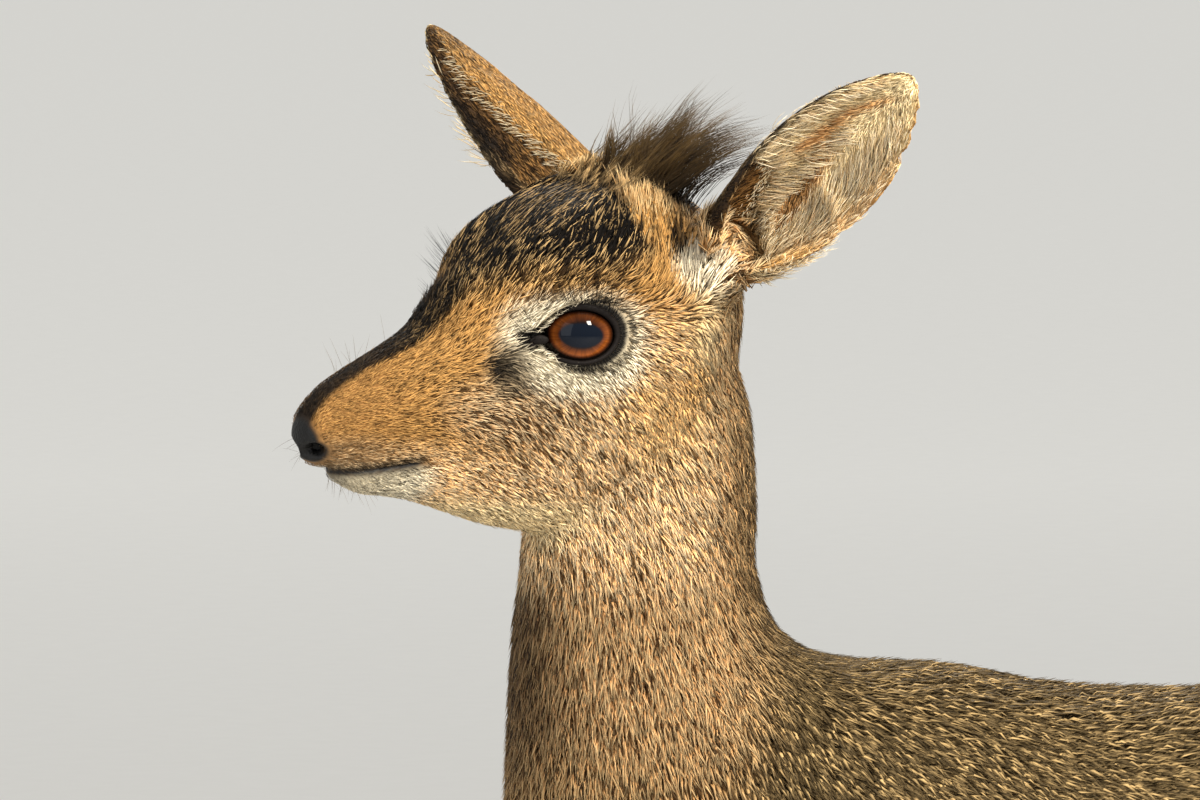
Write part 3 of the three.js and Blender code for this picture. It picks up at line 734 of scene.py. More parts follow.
def skin_material():
    """Short fur by bump, and bare skin with fine leather cells on the nose, lips and lids."""
    made, tree, shader = material("skin", 0.8, 0.25)
    spots = object_coordinates(tree)
    grain = noise(tree, spots, 900, 3)
    share = attribute(tree, "bare", "Fac")
    cells = node(tree, "ShaderNodeTexVoronoi", {"Vector": spots, "Scale": 1500}).outputs["Distance"]
    height = node(tree, "ShaderNodeMix", {"Factor": share, "A": grain, "B": cells}, data_type="FLOAT")
    colour = varied(tree, attribute(tree, "markings"), 0.25, grain)
    gloss = carried(tree, share, {"To Min": 0.85, "To Max": 0.5})
    feed(tree, shader, {"Base Color": colour, "Roughness": gloss})
    bumped(tree, shader, height.outputs["Result"], 0.5, 0.0003)
    return made


WET = {"Coat Weight": 0.32, "Coat Roughness": 0.03}
# Painted light and shade on the iris: brighter at the bottom, darker at the top as the shade of the upper
# lid
IRIS_LID_SHADE = {"From Min": -IRIS[1], "From Max": IRIS[1], "To Min": 1.15, "To Max": 0.15}
PUPIL_EDGE = {"From Min": 0.9, "From Max": 1.08}
PUPIL_COLOUR = (0.002, 0.004, 0.009, 1)


def eye_material():
    """A wet eye: an orange-brown ring of fibres round a long dark pupil, black beyond the ring; the ring
    carries painted shade of the upper lid at its top and painted light at its bottom.
    """
    made, tree, shader = material("eye", 0.5, 0.0)
    place = attribute(tree, "iris", "Vector")
    rim = vector_math(tree, "MULTIPLY", {0: place, 1: (1 / IRIS[0], 1 / IRIS[1], 0)})
    far = length_of(tree, rim)
    ways = vector_math(tree, "NORMALIZE", {0: rim})
    ring = node(tree, "ShaderNodeCombineXYZ", {"Z": far}).outputs["Vector"]
    spread = vector_math(tree, "MULTIPLY_ADD", {0: ways, 1: (FIBRES, FIBRES, FIBRES), 2: ring})
    fibres = noise(tree, spread, 1, 4)
    high = node(tree, "ShaderNodeSeparateXYZ", {0: place}).outputs["Y"]
    # painted light and lid shade on the ring, by height
    light = carried(tree, high, IRIS_LID_SHADE)
    lit = vector_math(tree, "SCALE", {0: shaded(tree, far, IRIS_SHADES), "Scale": light})
    pupil = vector_math(tree, "MULTIPLY", {0: place, 1: (1 / PUPIL[0], 1 / PUPIL[1], 0)})
    edge = carried(tree, length_of(tree, pupil), PUPIL_EDGE, interpolation_type="SMOOTHSTEP")
    inputs = {"Factor": edge, "A": PUPIL_COLOUR, "B": varied(tree, lit, 0.95, fibres)}
    mix = node(tree, "ShaderNodeMix", inputs, data_type="RGBA")
    feed(tree, shader, {"Base Color": mix.outputs["Result"], **WET})
    bumped(tree, shader, fibres, 0.15, 0.0001)
    return made


LID_SHADES = [(0, (0.002, 0.0015, 0.0013)), (1, (0.012, 0.009, 0.008))]


def lid_material():
    """Black wet skin with fine wrinkles."""
    made, tree, shader = material("lid", 0.6, 0.1)
    grain = noise(tree, object_coordinates(tree), 1600, 4)
    feed(tree, shader, {"Base Color": shaded(tree, grain, LID_SHADES)})
    bumped(tree, shader, grain, 0.4, 0.0003)
    return made


HORN_SHADES = [(0.35, (0.014, 0.011, 0.009)), (0.85, (0.11, 0.085, 0.06))]


def horn_material():
    """Black-brown horn with paler streaks down the wall."""
    made, tree, shader = material("horn", 0.42)
    inputs = {"Vector": object_coordinates(tree), "Scale": (1, 1, 0.12)}
    streaks = node(tree, "ShaderNodeMapping", inputs).outputs["Vector"]
    grain = noise(tree, streaks, 1100, 4)
    feed(tree, shader, {"Base Color": shaded(tree, grain, HORN_SHADES)})
    bumped(tree, shader, grain, 0.35, 0.0003)
    return made


def coat_material(name, roughness=0.62):
    made, tree, shader = material(name, roughness, 0.12)
    grain = noise(tree, object_coordinates(tree), 420, 2)
    feed(tree, shader, {"Base Color": varied(tree, attribute(tree, "markings"), 0.18, grain)})
    return made


# Coat

UV_PATCH = 0.003
MID_HAIR = 0.45  # where along a hair its middle colour stands
RIDGE, EDGES = 0.6, 0.4  # how far a hair's ridge stands over its middle line, and its edges under it


def hairs(name, paths, across, widths, thins, colours, patches):
    """One mesh of tapered hairs.

    paths holds each hair's points from root to tip, and each point between the ends carries a ring of
    three: one to each side and one on the ridge.
    """
    count, points = paths.shape[:2]
    rings = points - 2
    size = 3 * rings + 2
    ahead = unit(paths[:, 2:] - paths[:, :-2])
    side = unit(across[:, None] - ahead * (across[:, None] * ahead).sum(2, keepdims=True))
    ridge = np.cross(side, ahead)
    middle = paths[:, 1:-1]
    wide = (side * widths[..., None]) / 2
    thin = ridge * thins[..., None]
    ring = np.stack([middle - wide - thin * EDGES, middle + thin * RIDGE, middle + wide - thin * EDGES], 2)
    verts = np.concatenate([paths[:, :1], ring.reshape(count, rings * 3, 3), paths[:, -1:]], 1)

    faces = []
    for i in range(3):
        j = (i + 1) % 3
        faces.append([0, 1 + j, 1 + i])
        for k in range(rings - 1):
            low, top = 1 + 3 * k, 4 + 3 * k
            faces.append([low + i, low + j, top + i])
            faces.append([low + j, top + j, top + i])
        last = 1 + 3 * (rings - 1)
        faces.append([last + i, last + j, size - 1])
    faces = np.array(faces)
    corners = (faces[None] + (np.arange(count) * size)[:, None, None]).reshape(-1)

    mesh = bpy.data.meshes.new(name)
    mesh.vertices.add(count * size)
    mesh.vertices.foreach_set("co", verts.astype(np.float32).ravel())
    mesh.loops.add(len(corners))
    mesh.loops.foreach_set("vertex_index", corners.astype(np.int32))
    mesh.polygons.add(len(corners) // 3)
    mesh.polygons.foreach_set("loop_start", np.arange(0, len(corners), 3, dtype=np.int32))
    mesh.update(calc_edges=True)
    shade_smooth(mesh)

    share = np.linspace(0, 1, points)
    near = np.clip(share / MID_HAIR, 0, 1)[None, :, None]
    far = np.clip((share - MID_HAIR) / (1 - MID_HAIR), 0, 1)[None, :, None]
    shade = colours[:, 0:1] * (1 - near) + colours[:, 1:2] * near
    shade = shade * (1 - far) + colours[:, 2:3] * far
    tinted = np.concatenate([shade[:, :1], np.repeat(shade[:, 1:-1], 3, 1), shade[:, -1:]], 1)
    coloured(mesh, "markings", tinted.reshape(-1, 3))

    local = np.zeros((size, 2))
    local[0] = (0, -0.5)
    local[-1] = (0, 0.5)
    for k in range(rings):
        for i in range(3):
            local[1 + 3 * k + i] = ((i - 1) * 0.4, (k + 1) / (rings + 1) - 0.5 + 0.08 * (i == 1))
    spread = patches[:, None] + local[None] * UV_PATCH
    layer = mesh.uv_layers.new(name="OFBake")
    layer.data.foreach_set("uv", spread.reshape(-1, 2)[corners].astype(np.float32).ravel())
    return linked(name, mesh)


class Ground:
    """The skin as a ground to sow hair on."""

    def __init__(self, piece):
        mesh = piece.data
        mesh.calc_loop_triangles()
        self.points = places(mesh)
        self.turned = normals(mesh)
        self.corners = read(mesh.loop_triangles, "vertices", 3, np.int32)
        loops = read(mesh.loop_triangles, "loops", 3, np.int32)
        flat = read(mesh.uv_layers["OFBake"].data, "uv", 2).astype(float)
        self.flat = flat[loops]
        a, b, c = (self.points[self.corners[:, i]] for i in range(3))
        across = np.cross(b - a, c - a)
        self.area = np.linalg.norm(across, axis=1) / 2 / MM**2
        self.facing = unit(across)
        self.centre = (a + b + c) / 3
        self.tree = BVHTree.FromPolygons(self.points.tolist(), self.corners.tolist(), all_triangles=True)

    def sow(self, density, rng):
        """Roots by so many to the square millimetre of each face: place, normal and place on the unwrap."""
        heap = np.cumsum(self.area * density)
        count = int(heap[-1])
        draw = (np.arange(count) + rng.random(count)) / count * heap[-1]
        face = np.minimum(np.searchsorted(heap, draw), len(heap) - 1)
        first, second = rng.random((2, count))
        flip = first + second > 1
        first, second = np.where(flip, 1 - first, first), np.where(flip, 1 - second, second)
        share = np.stack([1 - first - second, first, second], 1)[..., None]
        corner = self.corners[face]
        return (
            (self.points[corner] * share).sum(1),
            unit((self.turned[corner] * share).sum(1)),
            (self.flat[face] * share).sum(1),
        )

    def patch(self, points):
        """The place on the unwrap of the skin that lies nearest to each point."""
        return self.flat[[self.tree.find_nearest(p)[2] for p in points.tolist()]].mean(1)

    def nearest(self, points):
        """The nearest point of the skin to each point, and the way the skin faces there."""
        found = [self.tree.find_nearest(p)[:2] for p in points.tolist()]
        return np.array([p[0] for p in found]), np.array([p[1] for p in found])


# Strokes of the brush on the head: place, then the way the hair lies
STROKES = [
    ((5, 0, 6), (0.6, 0, 0.8)),
    ((20, 0, 17), (0.85, 0, 0.5)),
    ((40, 0, 28), (0.75, 0, 0.65)),
    ((14, 8, 4), (0.9, 0.3, 0.2)),
    ((30, 10, 13), (0.85, 0.2, 0.4)),
    ((30, 10, 0), (0.95, 0.2, -0.05)),
    ((45, 13, 26), (0.7, 0.2, 0.7)),
    ((45, 14, 12), (0.95, 0.2, 0.05)),
    ((45, 14, 0), (0.85, 0.2, -0.4)),
    ((20, 6, -12), (0.95, 0.1, -0.3)),
    ((36, 8, -13), (0.95, 0.1, -0.35)),
    ((60, 8, -20), (0.85, 0.1, -0.5)),
    ((57, 18, 16), (0.8, 0.1, -0.5)),
    ((52, 16, 24), (0.75, 0.2, 0.55)),
    ((57, 18, 33), (0.6, 0.3, 0.75)),
    ((70, 24, 38), (0.75, 0.1, 0.65)),
    ((86, 24, 36), (0.85, 0.1, 0.35)),
    ((92, 24, 26), (0.9, 0, -0.35)),
    ((72, 23, 13), (0.7, 0, -0.7)),
    ((86, 24, 14), (0.7, 0, -0.7)),
    ((60, 18, 0), (0.72, 0.1, -0.68)),
    ((80, 22, -6), (0.6, 0, -0.8)),
    ((100, 24, 6), (0.5, 0, -0.85)),
    ((100, 22, -14), (0.45, 0, -0.9)),
    ((50, 0, 36), (0.5, 0, 0.85)),
    ((60, 0, 47), (0.6, 0, 0.8)),
    ((58, 14, 43), (0.55, 0.1, 0.85)),
    ((75, 0, 57), (0.9, 0, 0.4)),
    ((75, 16, 49), (0.6, -0.1, 0.8)),
    ((90, 0, 61), (0.9, 0, 0.4)),
    ((90, 23, 40), (0.3, -0.1, 0.95)),
    ((94, 18, 52), (0.1, -0.3, 0.95)),
    ((104, 12, 57), (0.6, -0.2, 0.75)),
    ((103, 24, 38), (0.1, 0.4, 0.9)),
    ((110, 24, 24), (0.5, 0.1, -0.85)),
    ((122, 14, 40), (0.6, 0, -0.8)),
    ((126, 0, 34), (0.5, 0, -0.85)),
]
BODY_STROKES = [
    ((-130, 20, 400), (0.12, 0, -1)),
    ((-105, 22, 410), (0.2, 0, -1)),
    ((-160, 0, 380), (0.02, 0, -1)),
    ((-90, 0, 400), (0.25, 0, -1)),
    ((-130, 30, 340), (0.3, 0, -0.95)),
    ((-70, 0, 385), (1, 0, -0.1)),
    ((-60, 35, 350), (0.7, 0, -0.7)),
    ((0, 0, 380), (1, 0, 0)),
    ((0, 45, 320), (0.9, 0, -0.35)),
    ((80, 48, 300), (0.9, 0, -0.35)),
    ((60, 0, 250), (1, 0, 0)),
    ((100, 0, 388), (1, 0, 0)),
    ((160, 40, 340), (0.7, 0, -0.7)),
    ((200, 0, 370), (0.8, 0, -0.6)),
    ((205, 30, 310), (0.35, 0, -0.95)),
    ((-90, 33, 270), (0.25, 0, -0.97)),
    ((-90, 33, 100), (0, 0, -1)),
    ((140, 38, 260), (0.3, 0, -0.95)),
    ((170, 38, 100), (0, 0, -1)),
    ((222, 0, 330), (0.3, 0, -0.95)),
]


def brushed(folded, strokes, soft):
    """The mean way of the strokes at points on the right side, to which the nearest strokes add most."""
    way = np.zeros_like(folded)
    for at, lie in strokes:
        weight = 1 / (((folded - np.array(at)) ** 2).sum(1) + soft) ** 2
        way += weight[:, None] * np.array(lie)
    return unit(way)


def combed(points, normal):
    """The way the hair lies at points of the frame."""
    head = in_head(points)
    way = brushed(mirrored(head), STROKES, 12)
    way[:, 1] *= np.where(head[:, 1] < 0, -1.0, 1.0)
    way = way @ HEAD_AXES.T
    lower = brushed(mirrored(points / MM), BODY_STROKES, 200)
    share = (ramp(points[:, 2] / MM, 404, 428) * ramp(head[:, 0], 124, 104))[:, None]
    return laid(lower + (way - lower) * share, normal)


def combed_ear(points, normal, side):
    """On the back of an ear the hair lies to the tip, and inside it leans in from both rims."""
    local = in_ear(in_head(points), side)
    across, opening, axis = (HEAD_AXES @ row for row in EARS[side][1])
    inside = ramp(normal @ opening, -0.1, 0.3)[:, None]
    lean = -np.clip(local[:, :1] / 12, -1, 1)
    return laid(axis * (1 - 0.35 * inside) + across * lean * inside * 1.1, normal)


EAR_HAIR = 3.4


def hair_length(points):
    """Length of the coat at points of the frame, in millimetres."""
    folded = mirrored(in_head(points))
    up = points[:, 2] / MM
    on_body = 4 + 3.0 * ramp(up, 110, 290)
    length = on_body + (9 - on_body) * ramp(up, 345, 395)
    on_head = 2.1 + 2.6 * ramp(folded[:, 0], 14, 50) + 2.2 * ramp(folded[:, 0], 60, 90)
    on_head += 2.4 * ramp(folded[:, 2] - forehead_edge(folded[:, 0], folded[:, 1]), -1, 8)
    on_head -= 2.0 * spot(folded, EYE, (19, 18, 15), 0.6)
    near_lip = band(folded[:, 2] - mouth_high(folded[:, 0]), 2) * ramp(folded[:, 0], 40, 36)
    on_head = on_head * (1 - 0.5 * near_lip)
    length = length + (on_head - length) * ramp(folded[:, 0], 118, 98) * ramp(up, 402, 424)
    return length + (EAR_HAIR - length) * is_ear(in_head(points))


CLUMP = {"head": 1.0, "body": 1.2, "share": 0.65}


def clumped(points, rng):
    """A random number for each point, which most points of one small clump of the coat share."""
    size = CLUMP["head"] + (CLUMP["body"] - CLUMP["head"]) * ramp(points[:, 2] / MM, 400, 330)
    cells = np.floor(points / MM / size[:, None]).astype(int)
    index = np.unique(cells, axis=0, return_inverse=True)[1].ravel()
    own = rng.random(len(points))
    return np.where(rng.random(len(points)) < CLUMP["share"], rng.random(index.max() + 1)[index], own)


TUFT = {"root": 0.35, "bend": 0.42, "tip": 0.55, "thin": 0.45}
DARK_HAIR = {"middle": 0.22, "tip": 0.8}  # the middle to that of a light hair, and the tip to the middle
QUIFF = ((43, 0, 34), (10, 12, 10), 0.8)  # where the coat of the brow stands up more


def coat(name, ground, roots, way, rng, slim):
    """Tufts that lie along the skin, each bent once, from roots that were sown on it."""
    point, normal, patch = roots
    count = len(point)
    side = unit(np.cross(normal, way))
    swing = rng.normal(0, 0.2, count)[:, None]
    way = unit(way + side * swing)
    size = hair_length(point) * drawn(rng, 0.7, 0.6, count)
    depth = coat_depth(point) * (1 + 1.3 * spot(mirrored(in_head(point)), *QUIFF))
    bend, bend_normal = ground.nearest(point + way * (size * TUFT["bend"] * MM)[:, None])
    way_on = laid(way, bend_normal)
    tip, tip_normal = ground.nearest(bend + way_on * (size * TUFT["tip"] * MM)[:, None])
    root = point - normal * TUFT["root"] * MM
    bend = bend + bend_normal * (depth * drawn(rng, 0.4, 0.4, count) * MM)[:, None]
    tip = tip + tip_normal * (depth * drawn(rng, 0.4, 0.7, count) * MM)[:, None]
    paths = np.stack([root, bend, tip], 1)
    widths = (size * slim * drawn(rng, 0.75, 0.5, count) * MM)[:, None]
    look = markings(point, normal)
    light = 0.55 + 0.9 * clumped(point, rng)[:, None, None]
    rows = np.stack(look.rows, 1) * light
    dark = (clumped(point, rng) < look.dark)[:, None]
    rows[:, 1] = np.where(dark, rows[:, 1] * DARK_HAIR["middle"], rows[:, 1])
    rows[:, 2] = np.where(dark, rows[:, 1] * DARK_HAIR["tip"], rows[:, 2])
    return hairs(name, paths, side, widths, widths * TUFT["thin"], rows, patch)


def fit(piece, made, slot, *nodes):
    """Gives a piece its material, hides the nodes of the frame that it stands for and hangs it from the
    root; slot is not used.
    """
    piece.data.materials.append(made)
    if nodes:
        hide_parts(*nodes)
    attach(piece, "root")


# Eyes, lids and single stiff hairs


def eye_frame(side):
    """Centre of an eye and its axes, in the head's frame: to the front along the lids, up, and out."""
    sign = SIDES[side]
    gaze = unit(np.array([-math.cos(GAZE), sign * math.sin(GAZE), 0.03]))
    front = np.array([-math.sin(GAZE), -sign * math.cos(GAZE), 0])
    up = unit(np.array([0, 0, 1]) - gaze * gaze[2])
    return np.array(EYE) * [1, sign, 1], np.array([front, up, gaze])


def from_eye(side, local):
    centre, axes = eye_frame(side)
    return from_head(centre + np.asarray(local, float) @ axes)


def globe(side):
    """The eyeball, with the clear front bulging a little."""
    bm = bmesh.new()
    bmesh.ops.create_uvsphere(bm, u_segments=96, v_segments=48, radius=EYE_RADIUS)
    local = np.array([vert.co for vert in bm.verts])
    turn = np.arccos(np.clip(local[:, 2] / EYE_RADIUS, -1, 1))
    local = local * (1 + EYE_BULGE * ramp(turn, math.radians(48), math.radians(10)))[:, None]
    for vert, place in zip(bm.verts, from_eye(side, local)):
        vert.co = place
    piece = finished(bm, "globe_" + side)
    layer = piece.data.attributes.new("iris", "FLOAT_VECTOR", "POINT")
    layer.data.foreach_set("vector", (local * [1, 1, 0]).astype(np.float32).ravel())
    return piece


def lid_edge(turn, grown=0.0):
    """The edge of the lids at an angle round the eye: how far to the front, and how far up."""
    duct = np.maximum(np.cos(turn), 0) ** 3
    high = np.sign(np.sin(turn)) * np.abs(np.sin(turn)) ** (1 + 0.9 * duct)
    front = (LID["half"] + grown) * np.cos(turn) + LID["duct"] * duct
    return front, (LID["high"] + grown) * high - LID["drop"] * duct


def lid_height(side, front, up, ground):
    """How far out the lids stand: on the eyeball, and on the face at the front corner."""
    ball = np.sqrt(np.maximum((EYE_RADIUS + LID["over"]) ** 2 - front**2 - up**2, 0))
    centre, axes = eye_frame(side)
    inward_way = Vector(HEAD_AXES @ -axes[2])
    heights = []
    for x, y, own in zip(front, up, ball):
        start = Vector(from_eye(side, [(x + 1.6 * np.sign(x), y * 1.1, 30)])[0])
        hit = ground.tree.ray_cast(start, inward_way)[0]
        face = own if hit is None else float((in_head([hit])[0] - centre) @ axes[2]) - 0.5
        heights.append(own + (face - own) * float(ramp(x, 8.2, 11.0)))
    return np.array(heights)


DUCT = {"size": (2.6, 1.3, 0.7), "at": (10.4, -1.7), "under": 0.7}


def lids(side, ground):
    """The black rim of both lids, one closed roll round the eye, with the flesh of its front corner."""
    turn = np.linspace(0, 2 * math.pi, 72, endpoint=False)
    front, up = lid_edge(turn)
    high = lid_height(side, front, up, ground)
    curve = bpy.data.curves.new("lid_line", "CURVE")
    curve.dimensions = "3D"
    curve.bevel_depth = LID["roll"] * MM
    curve.bevel_resolution = 5
    spline = curve.splines.new("POLY")
    spline.points.add(len(turn) - 1)
    spline.use_cyclic_u = True
    for point, place, angle in zip(spline.points, from_eye(side, np.stack([front, up, high], 1)), turn):
        point.co = (*place, 1)
        point.radius = 0.92 + 0.2 * math.sin(angle) - 0.25 * max(math.cos(angle), 0) ** 3
    line = linked("lid_line", curve)
    mesh = evaluated(line)
    bpy.data.objects.remove(line)
    bpy.data.curves.remove(curve)
    bm = bmesh.new()
    bm.from_mesh(mesh)
    bpy.data.meshes.remove(mesh)
    bmesh.ops.remove_doubles(bm, verts=bm.verts, dist=MERGED)
    corner = bmesh.ops.create_icosphere(bm, subdivisions=3, radius=1)["verts"]
    local = np.array([v.co for v in corner]) * DUCT["size"] + (*DUCT["at"], float(high[0]) - DUCT["under"])
    for vert, place in zip(corner, from_eye(side, local)):
        vert.co = place
    return finished(bm, "lids_" + side)


def hair_widths(rng, count, width, shares):
    """Widths along so many hairs, by shares of a width in millimetres."""
    return width * MM * np.outer(drawn(rng, 0.7, 0.6, count), shares)


def bristles(name, ground, roots, ways, long, width, rise, colour, rng):
    """Single hairs given in the head's frame: where each roots, the way it leaves and how it bends up."""
    shares = np.linspace(0, 1, 6)
    bend = np.array([0, 0, rise])
    paths = np.stack([roots + (unit(ways) * t + bend * t * t) * long[:, None] for t in shares], 1)
    paths = from_head(paths)
    widths = width * MM * np.outer(drawn(rng, 0.8, 0.4, len(roots)), [1, 0.9, 0.75, 0.5])
    across = np.cross(unit(ways), (0, 0, 1)) @ HEAD_AXES.T
    root, middle = LOOKS[colour][0][:2]
    rows = np.tile(np.array([root, middle, middle]), (len(roots), 1, 1))
    return hairs(name, paths, across, widths, widths * 0.8, rows, ground.patch(paths[:, 0]))


LASHES, BROW_HAIRS = 64, 12


def lashes(side, ground, rng):
    """The long black lashes of the upper lid and a few stiff hairs over the brow."""
    centre, axes = eye_frame(side)
    turn = np.radians(np.linspace(18, 150, LASHES)) + rng.normal(0, 0.02, LASHES)
    front, up = lid_edge(turn, 0.6)
    roots = np.stack([front, up, lid_height(side, front, up, ground) + 0.7], 1)
    sweep = front / 15 + rng.normal(0.3, 0.15, LASHES)
    ways = np.stack([sweep, 0.6 + rng.normal(0, 0.14, LASHES), np.ones(LASHES)], 1)
    long = 6.5 + 9 * np.sin(turn) * drawn(rng, 0.5, 0.5, LASHES)
    count = BROW_HAIRS
    brow = np.stack([rng.uniform(-6, 9, count), rng.uniform(10.5, 14, count), np.full(count, 6.0)], 1)
    brow = ground.nearest(from_eye(side, brow))[0]
    brow = (in_head(brow) - centre) @ axes.T
    brow_ways = np.stack([rng.normal(0.35, 0.2, count), rng.normal(0.3, 0.15, count), np.ones(count)], 1)
    roots = centre + np.vstack([roots, brow]) @ axes
    ways = np.vstack([ways, brow_ways]) @ axes
    long = np.concatenate([long, rng.uniform(6, 10, count)])
    return bristles("lashes_" + side, ground, roots, ways, long, 0.14, 0.3, "black", rng)


FRINGE = {"count": 320, "long": 2.4}


def lid_fringe(side, ground, rng):
    """Short black hairs that lie outwards from the rim of the lids and break its edge."""
    centre, axes = eye_frame(side)
    count = FRINGE["count"]
    turn = np.linspace(0, 2 * math.pi, count, endpoint=False)
    front, up = lid_edge(turn, 0.5)
    high = lid_height(side, front, up, ground)
    outer_front, outer_up = lid_edge(turn + rng.normal(0, 0.06, count), 0.5 + FRINGE["long"])
    size = drawn(rng, 0.6, 0.5, count)
    ways = np.stack([outer_front - front, outer_up - up, np.full(count, -0.35 * FRINGE["long"])], 1)
    roots = centre + np.stack([front, up, high + 0.35], 1) @ axes
    long = np.linalg.norm(ways, axis=1) * size
    return bristles("lid_fringe_" + side, ground, roots, ways @ axes, long, 0.2, 0.0, "black", rng)


# Beds of whiskers: centre, reach, the way they grow, length and number on each side
WHISKERS = [
    ((12, 5, -4), (7, 2, 2), (0.2, 1, -0.2), 9, 14),
    ((18, 4, -13), (7, 2, 1), (0.5, 0.5, -1), 6, 12),
    ((22, 2, 16), (12, 2, 3), (-0.1, 0.4, 1), 9, 7),
]


def whiskers(ground, rng):
    """Fine single hairs on the lips, the chin and the top of the snout."""
    roots, ways, long = [], [], []
    for sign in SIDES.values():
        for at, reach, way, size, count in WHISKERS:
            spots = np.array(at) + rng.uniform(-1, 1, (count, 3)) * reach
            roots.append(spots * [1, sign, 1])
            ways.append((np.array(way) + rng.normal(0, 0.22, (count, 3))) * [1, sign, 1])
            long.append(size * rng.uniform(0.6, 1.3, count))
    roots = in_head(ground.nearest(from_head(np.vstack(roots)))[0])
    ways, long = np.vstack(ways), np.concatenate(long)
    return bristles("whiskers", ground, roots, ways, long, 0.07, -0.12, "shadow", rng)


# Hooves

HOOVES = [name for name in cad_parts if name.startswith("hoof_")]
HOOF_VOXEL = 0.0005
HOOF_RING = {"apart": 1.7, "deep": 0.14}


def hooves():
    """The two horn halves of each foot, rounded, with growth rings round their walls."""
    bm = bmesh.new()
    for name in HOOVES:
        add_node(bm, name)
    piece = remeshed(finished(bm, "hooves"), HOOF_VOXEL)
    smoothed(piece, np.ones(len(piece.data.vertices)), 4)
    turned = read(piece.data.vertex_normals, "vector", 3)
    high = places(piece.data)[:, 2] / MM
    wall = ramp(np.abs(turned[:, 2]), 0.8, 0.5)
    rings = 0.5 + 0.5 * np.sin(2 * math.pi * high / HOOF_RING["apart"])
    inward(piece.data, HOOF_RING["deep"] * wall * rings)
    shade_smooth(piece.data)
    return piece


DEWCLAW = {"high": 28, "apart": 3.0, "size": (1.9, 1.6, 3.0)}


def owned(owner, names):
    """Which faces of the skin belong to these nodes."""
    return np.isin(owner, [FLESH.index(name) for name in names])


def dewclaws(ground, owner):
    """Two small false hooves behind each pastern."""
    bm = bmesh.new()
    for limb in LIMBS:
        on = owned(owner, [limb]) & (np.abs(ground.centre[:, 2] / MM - DEWCLAW["high"]) < 1.5)
        ring = ground.centre[on] / MM
        middle = (ring[:, 1].min() + ring[:, 1].max()) / 2
        for sign in SIDES.values():
            claw = bmesh.ops.create_icosphere(bm, subdivisions=3, radius=1)["verts"]
            at = Vector((ring[:, 0].max() - 0.7, middle + sign * DEWCLAW["apart"], DEWCLAW["high"]))
            for vert in claw:
                lower = max(-vert.co.z, 0)
                shape = Vector(c * size for c, size in zip(vert.co, DEWCLAW["size"]))
                shape.x += 1.3 * lower * lower
                vert.co = (at + shape) * MM
    return finished(bm, "dewclaws")


CORONET = {"high": 22, "dense": 2.0, "long": 7.5}


def coronets(ground, owner, rng):
    """The hair that hangs from the end of each pastern over the top of the hoof."""
    up = ground.centre[:, 2] / MM
    on = owned(owner, LIMBS) * ramp(up, CORONET["high"], CORONET["high"] - 4)
    on = on * (ground.facing[:, 2] > -0.75)
    point, normal, patch = ground.sow(on * CORONET["dense"], rng)
    count = len(point)
    aside = unit(normal * [1, 1, 0] + [1e-6, 0, 0])
    size = (CORONET["long"] * drawn(rng, 0.6, 0.5, count) * MM)[:, None]
    lean = 0.45 + rng.normal(0, 0.1, count)[:, None]
    shares = np.linspace(0, 1, 4)
    paths = [point + (aside * lean * t * (1.6 - t) + np.array([-0.2, 0, -1]) * t) * size for t in shares]
    paths = np.stack(paths, 1)
    paths[:, 0] -= normal * 0.3 * MM
    widths = hair_widths(rng, count, 0.65, [1, 0.8])
    rows = markings(point, normal).lit(rng, 0.7, 0.6)
    across = unit(np.cross(normal, [0, 0, 1.0]) + 1e-6)
    return hairs("coronets", paths, across, widths, widths * 0.5, rows, patch)


# Crest and the long hair of the ears

CREST = {"first": 84, "last": 112, "half": 12, "short": 8, "long": 41, "wisps": 64}
CREST_RISE = (math.radians(70), math.radians(44))


def crest_path(start, tilt, splay, long, share):
    """Points of crest hairs at a share of their length: they rise from the crown and bend back."""
    along = np.clip((start[:, 0] - CREST["first"]) / (CREST["last"] - CREST["first"]), 0, 1)
    nape = ramp(start[:, 0], 104, 108)
    rise = CREST_RISE[0] + (CREST_RISE[1] - CREST_RISE[0]) * along + tilt + 0.5 * nape
    bend = (0.16 + 0.3 * nape) * share**2
    arc = np.stack([np.cos(rise) * share + bend, splay * share, np.sin(rise) * share - bend])
    return start + (long * arc).T


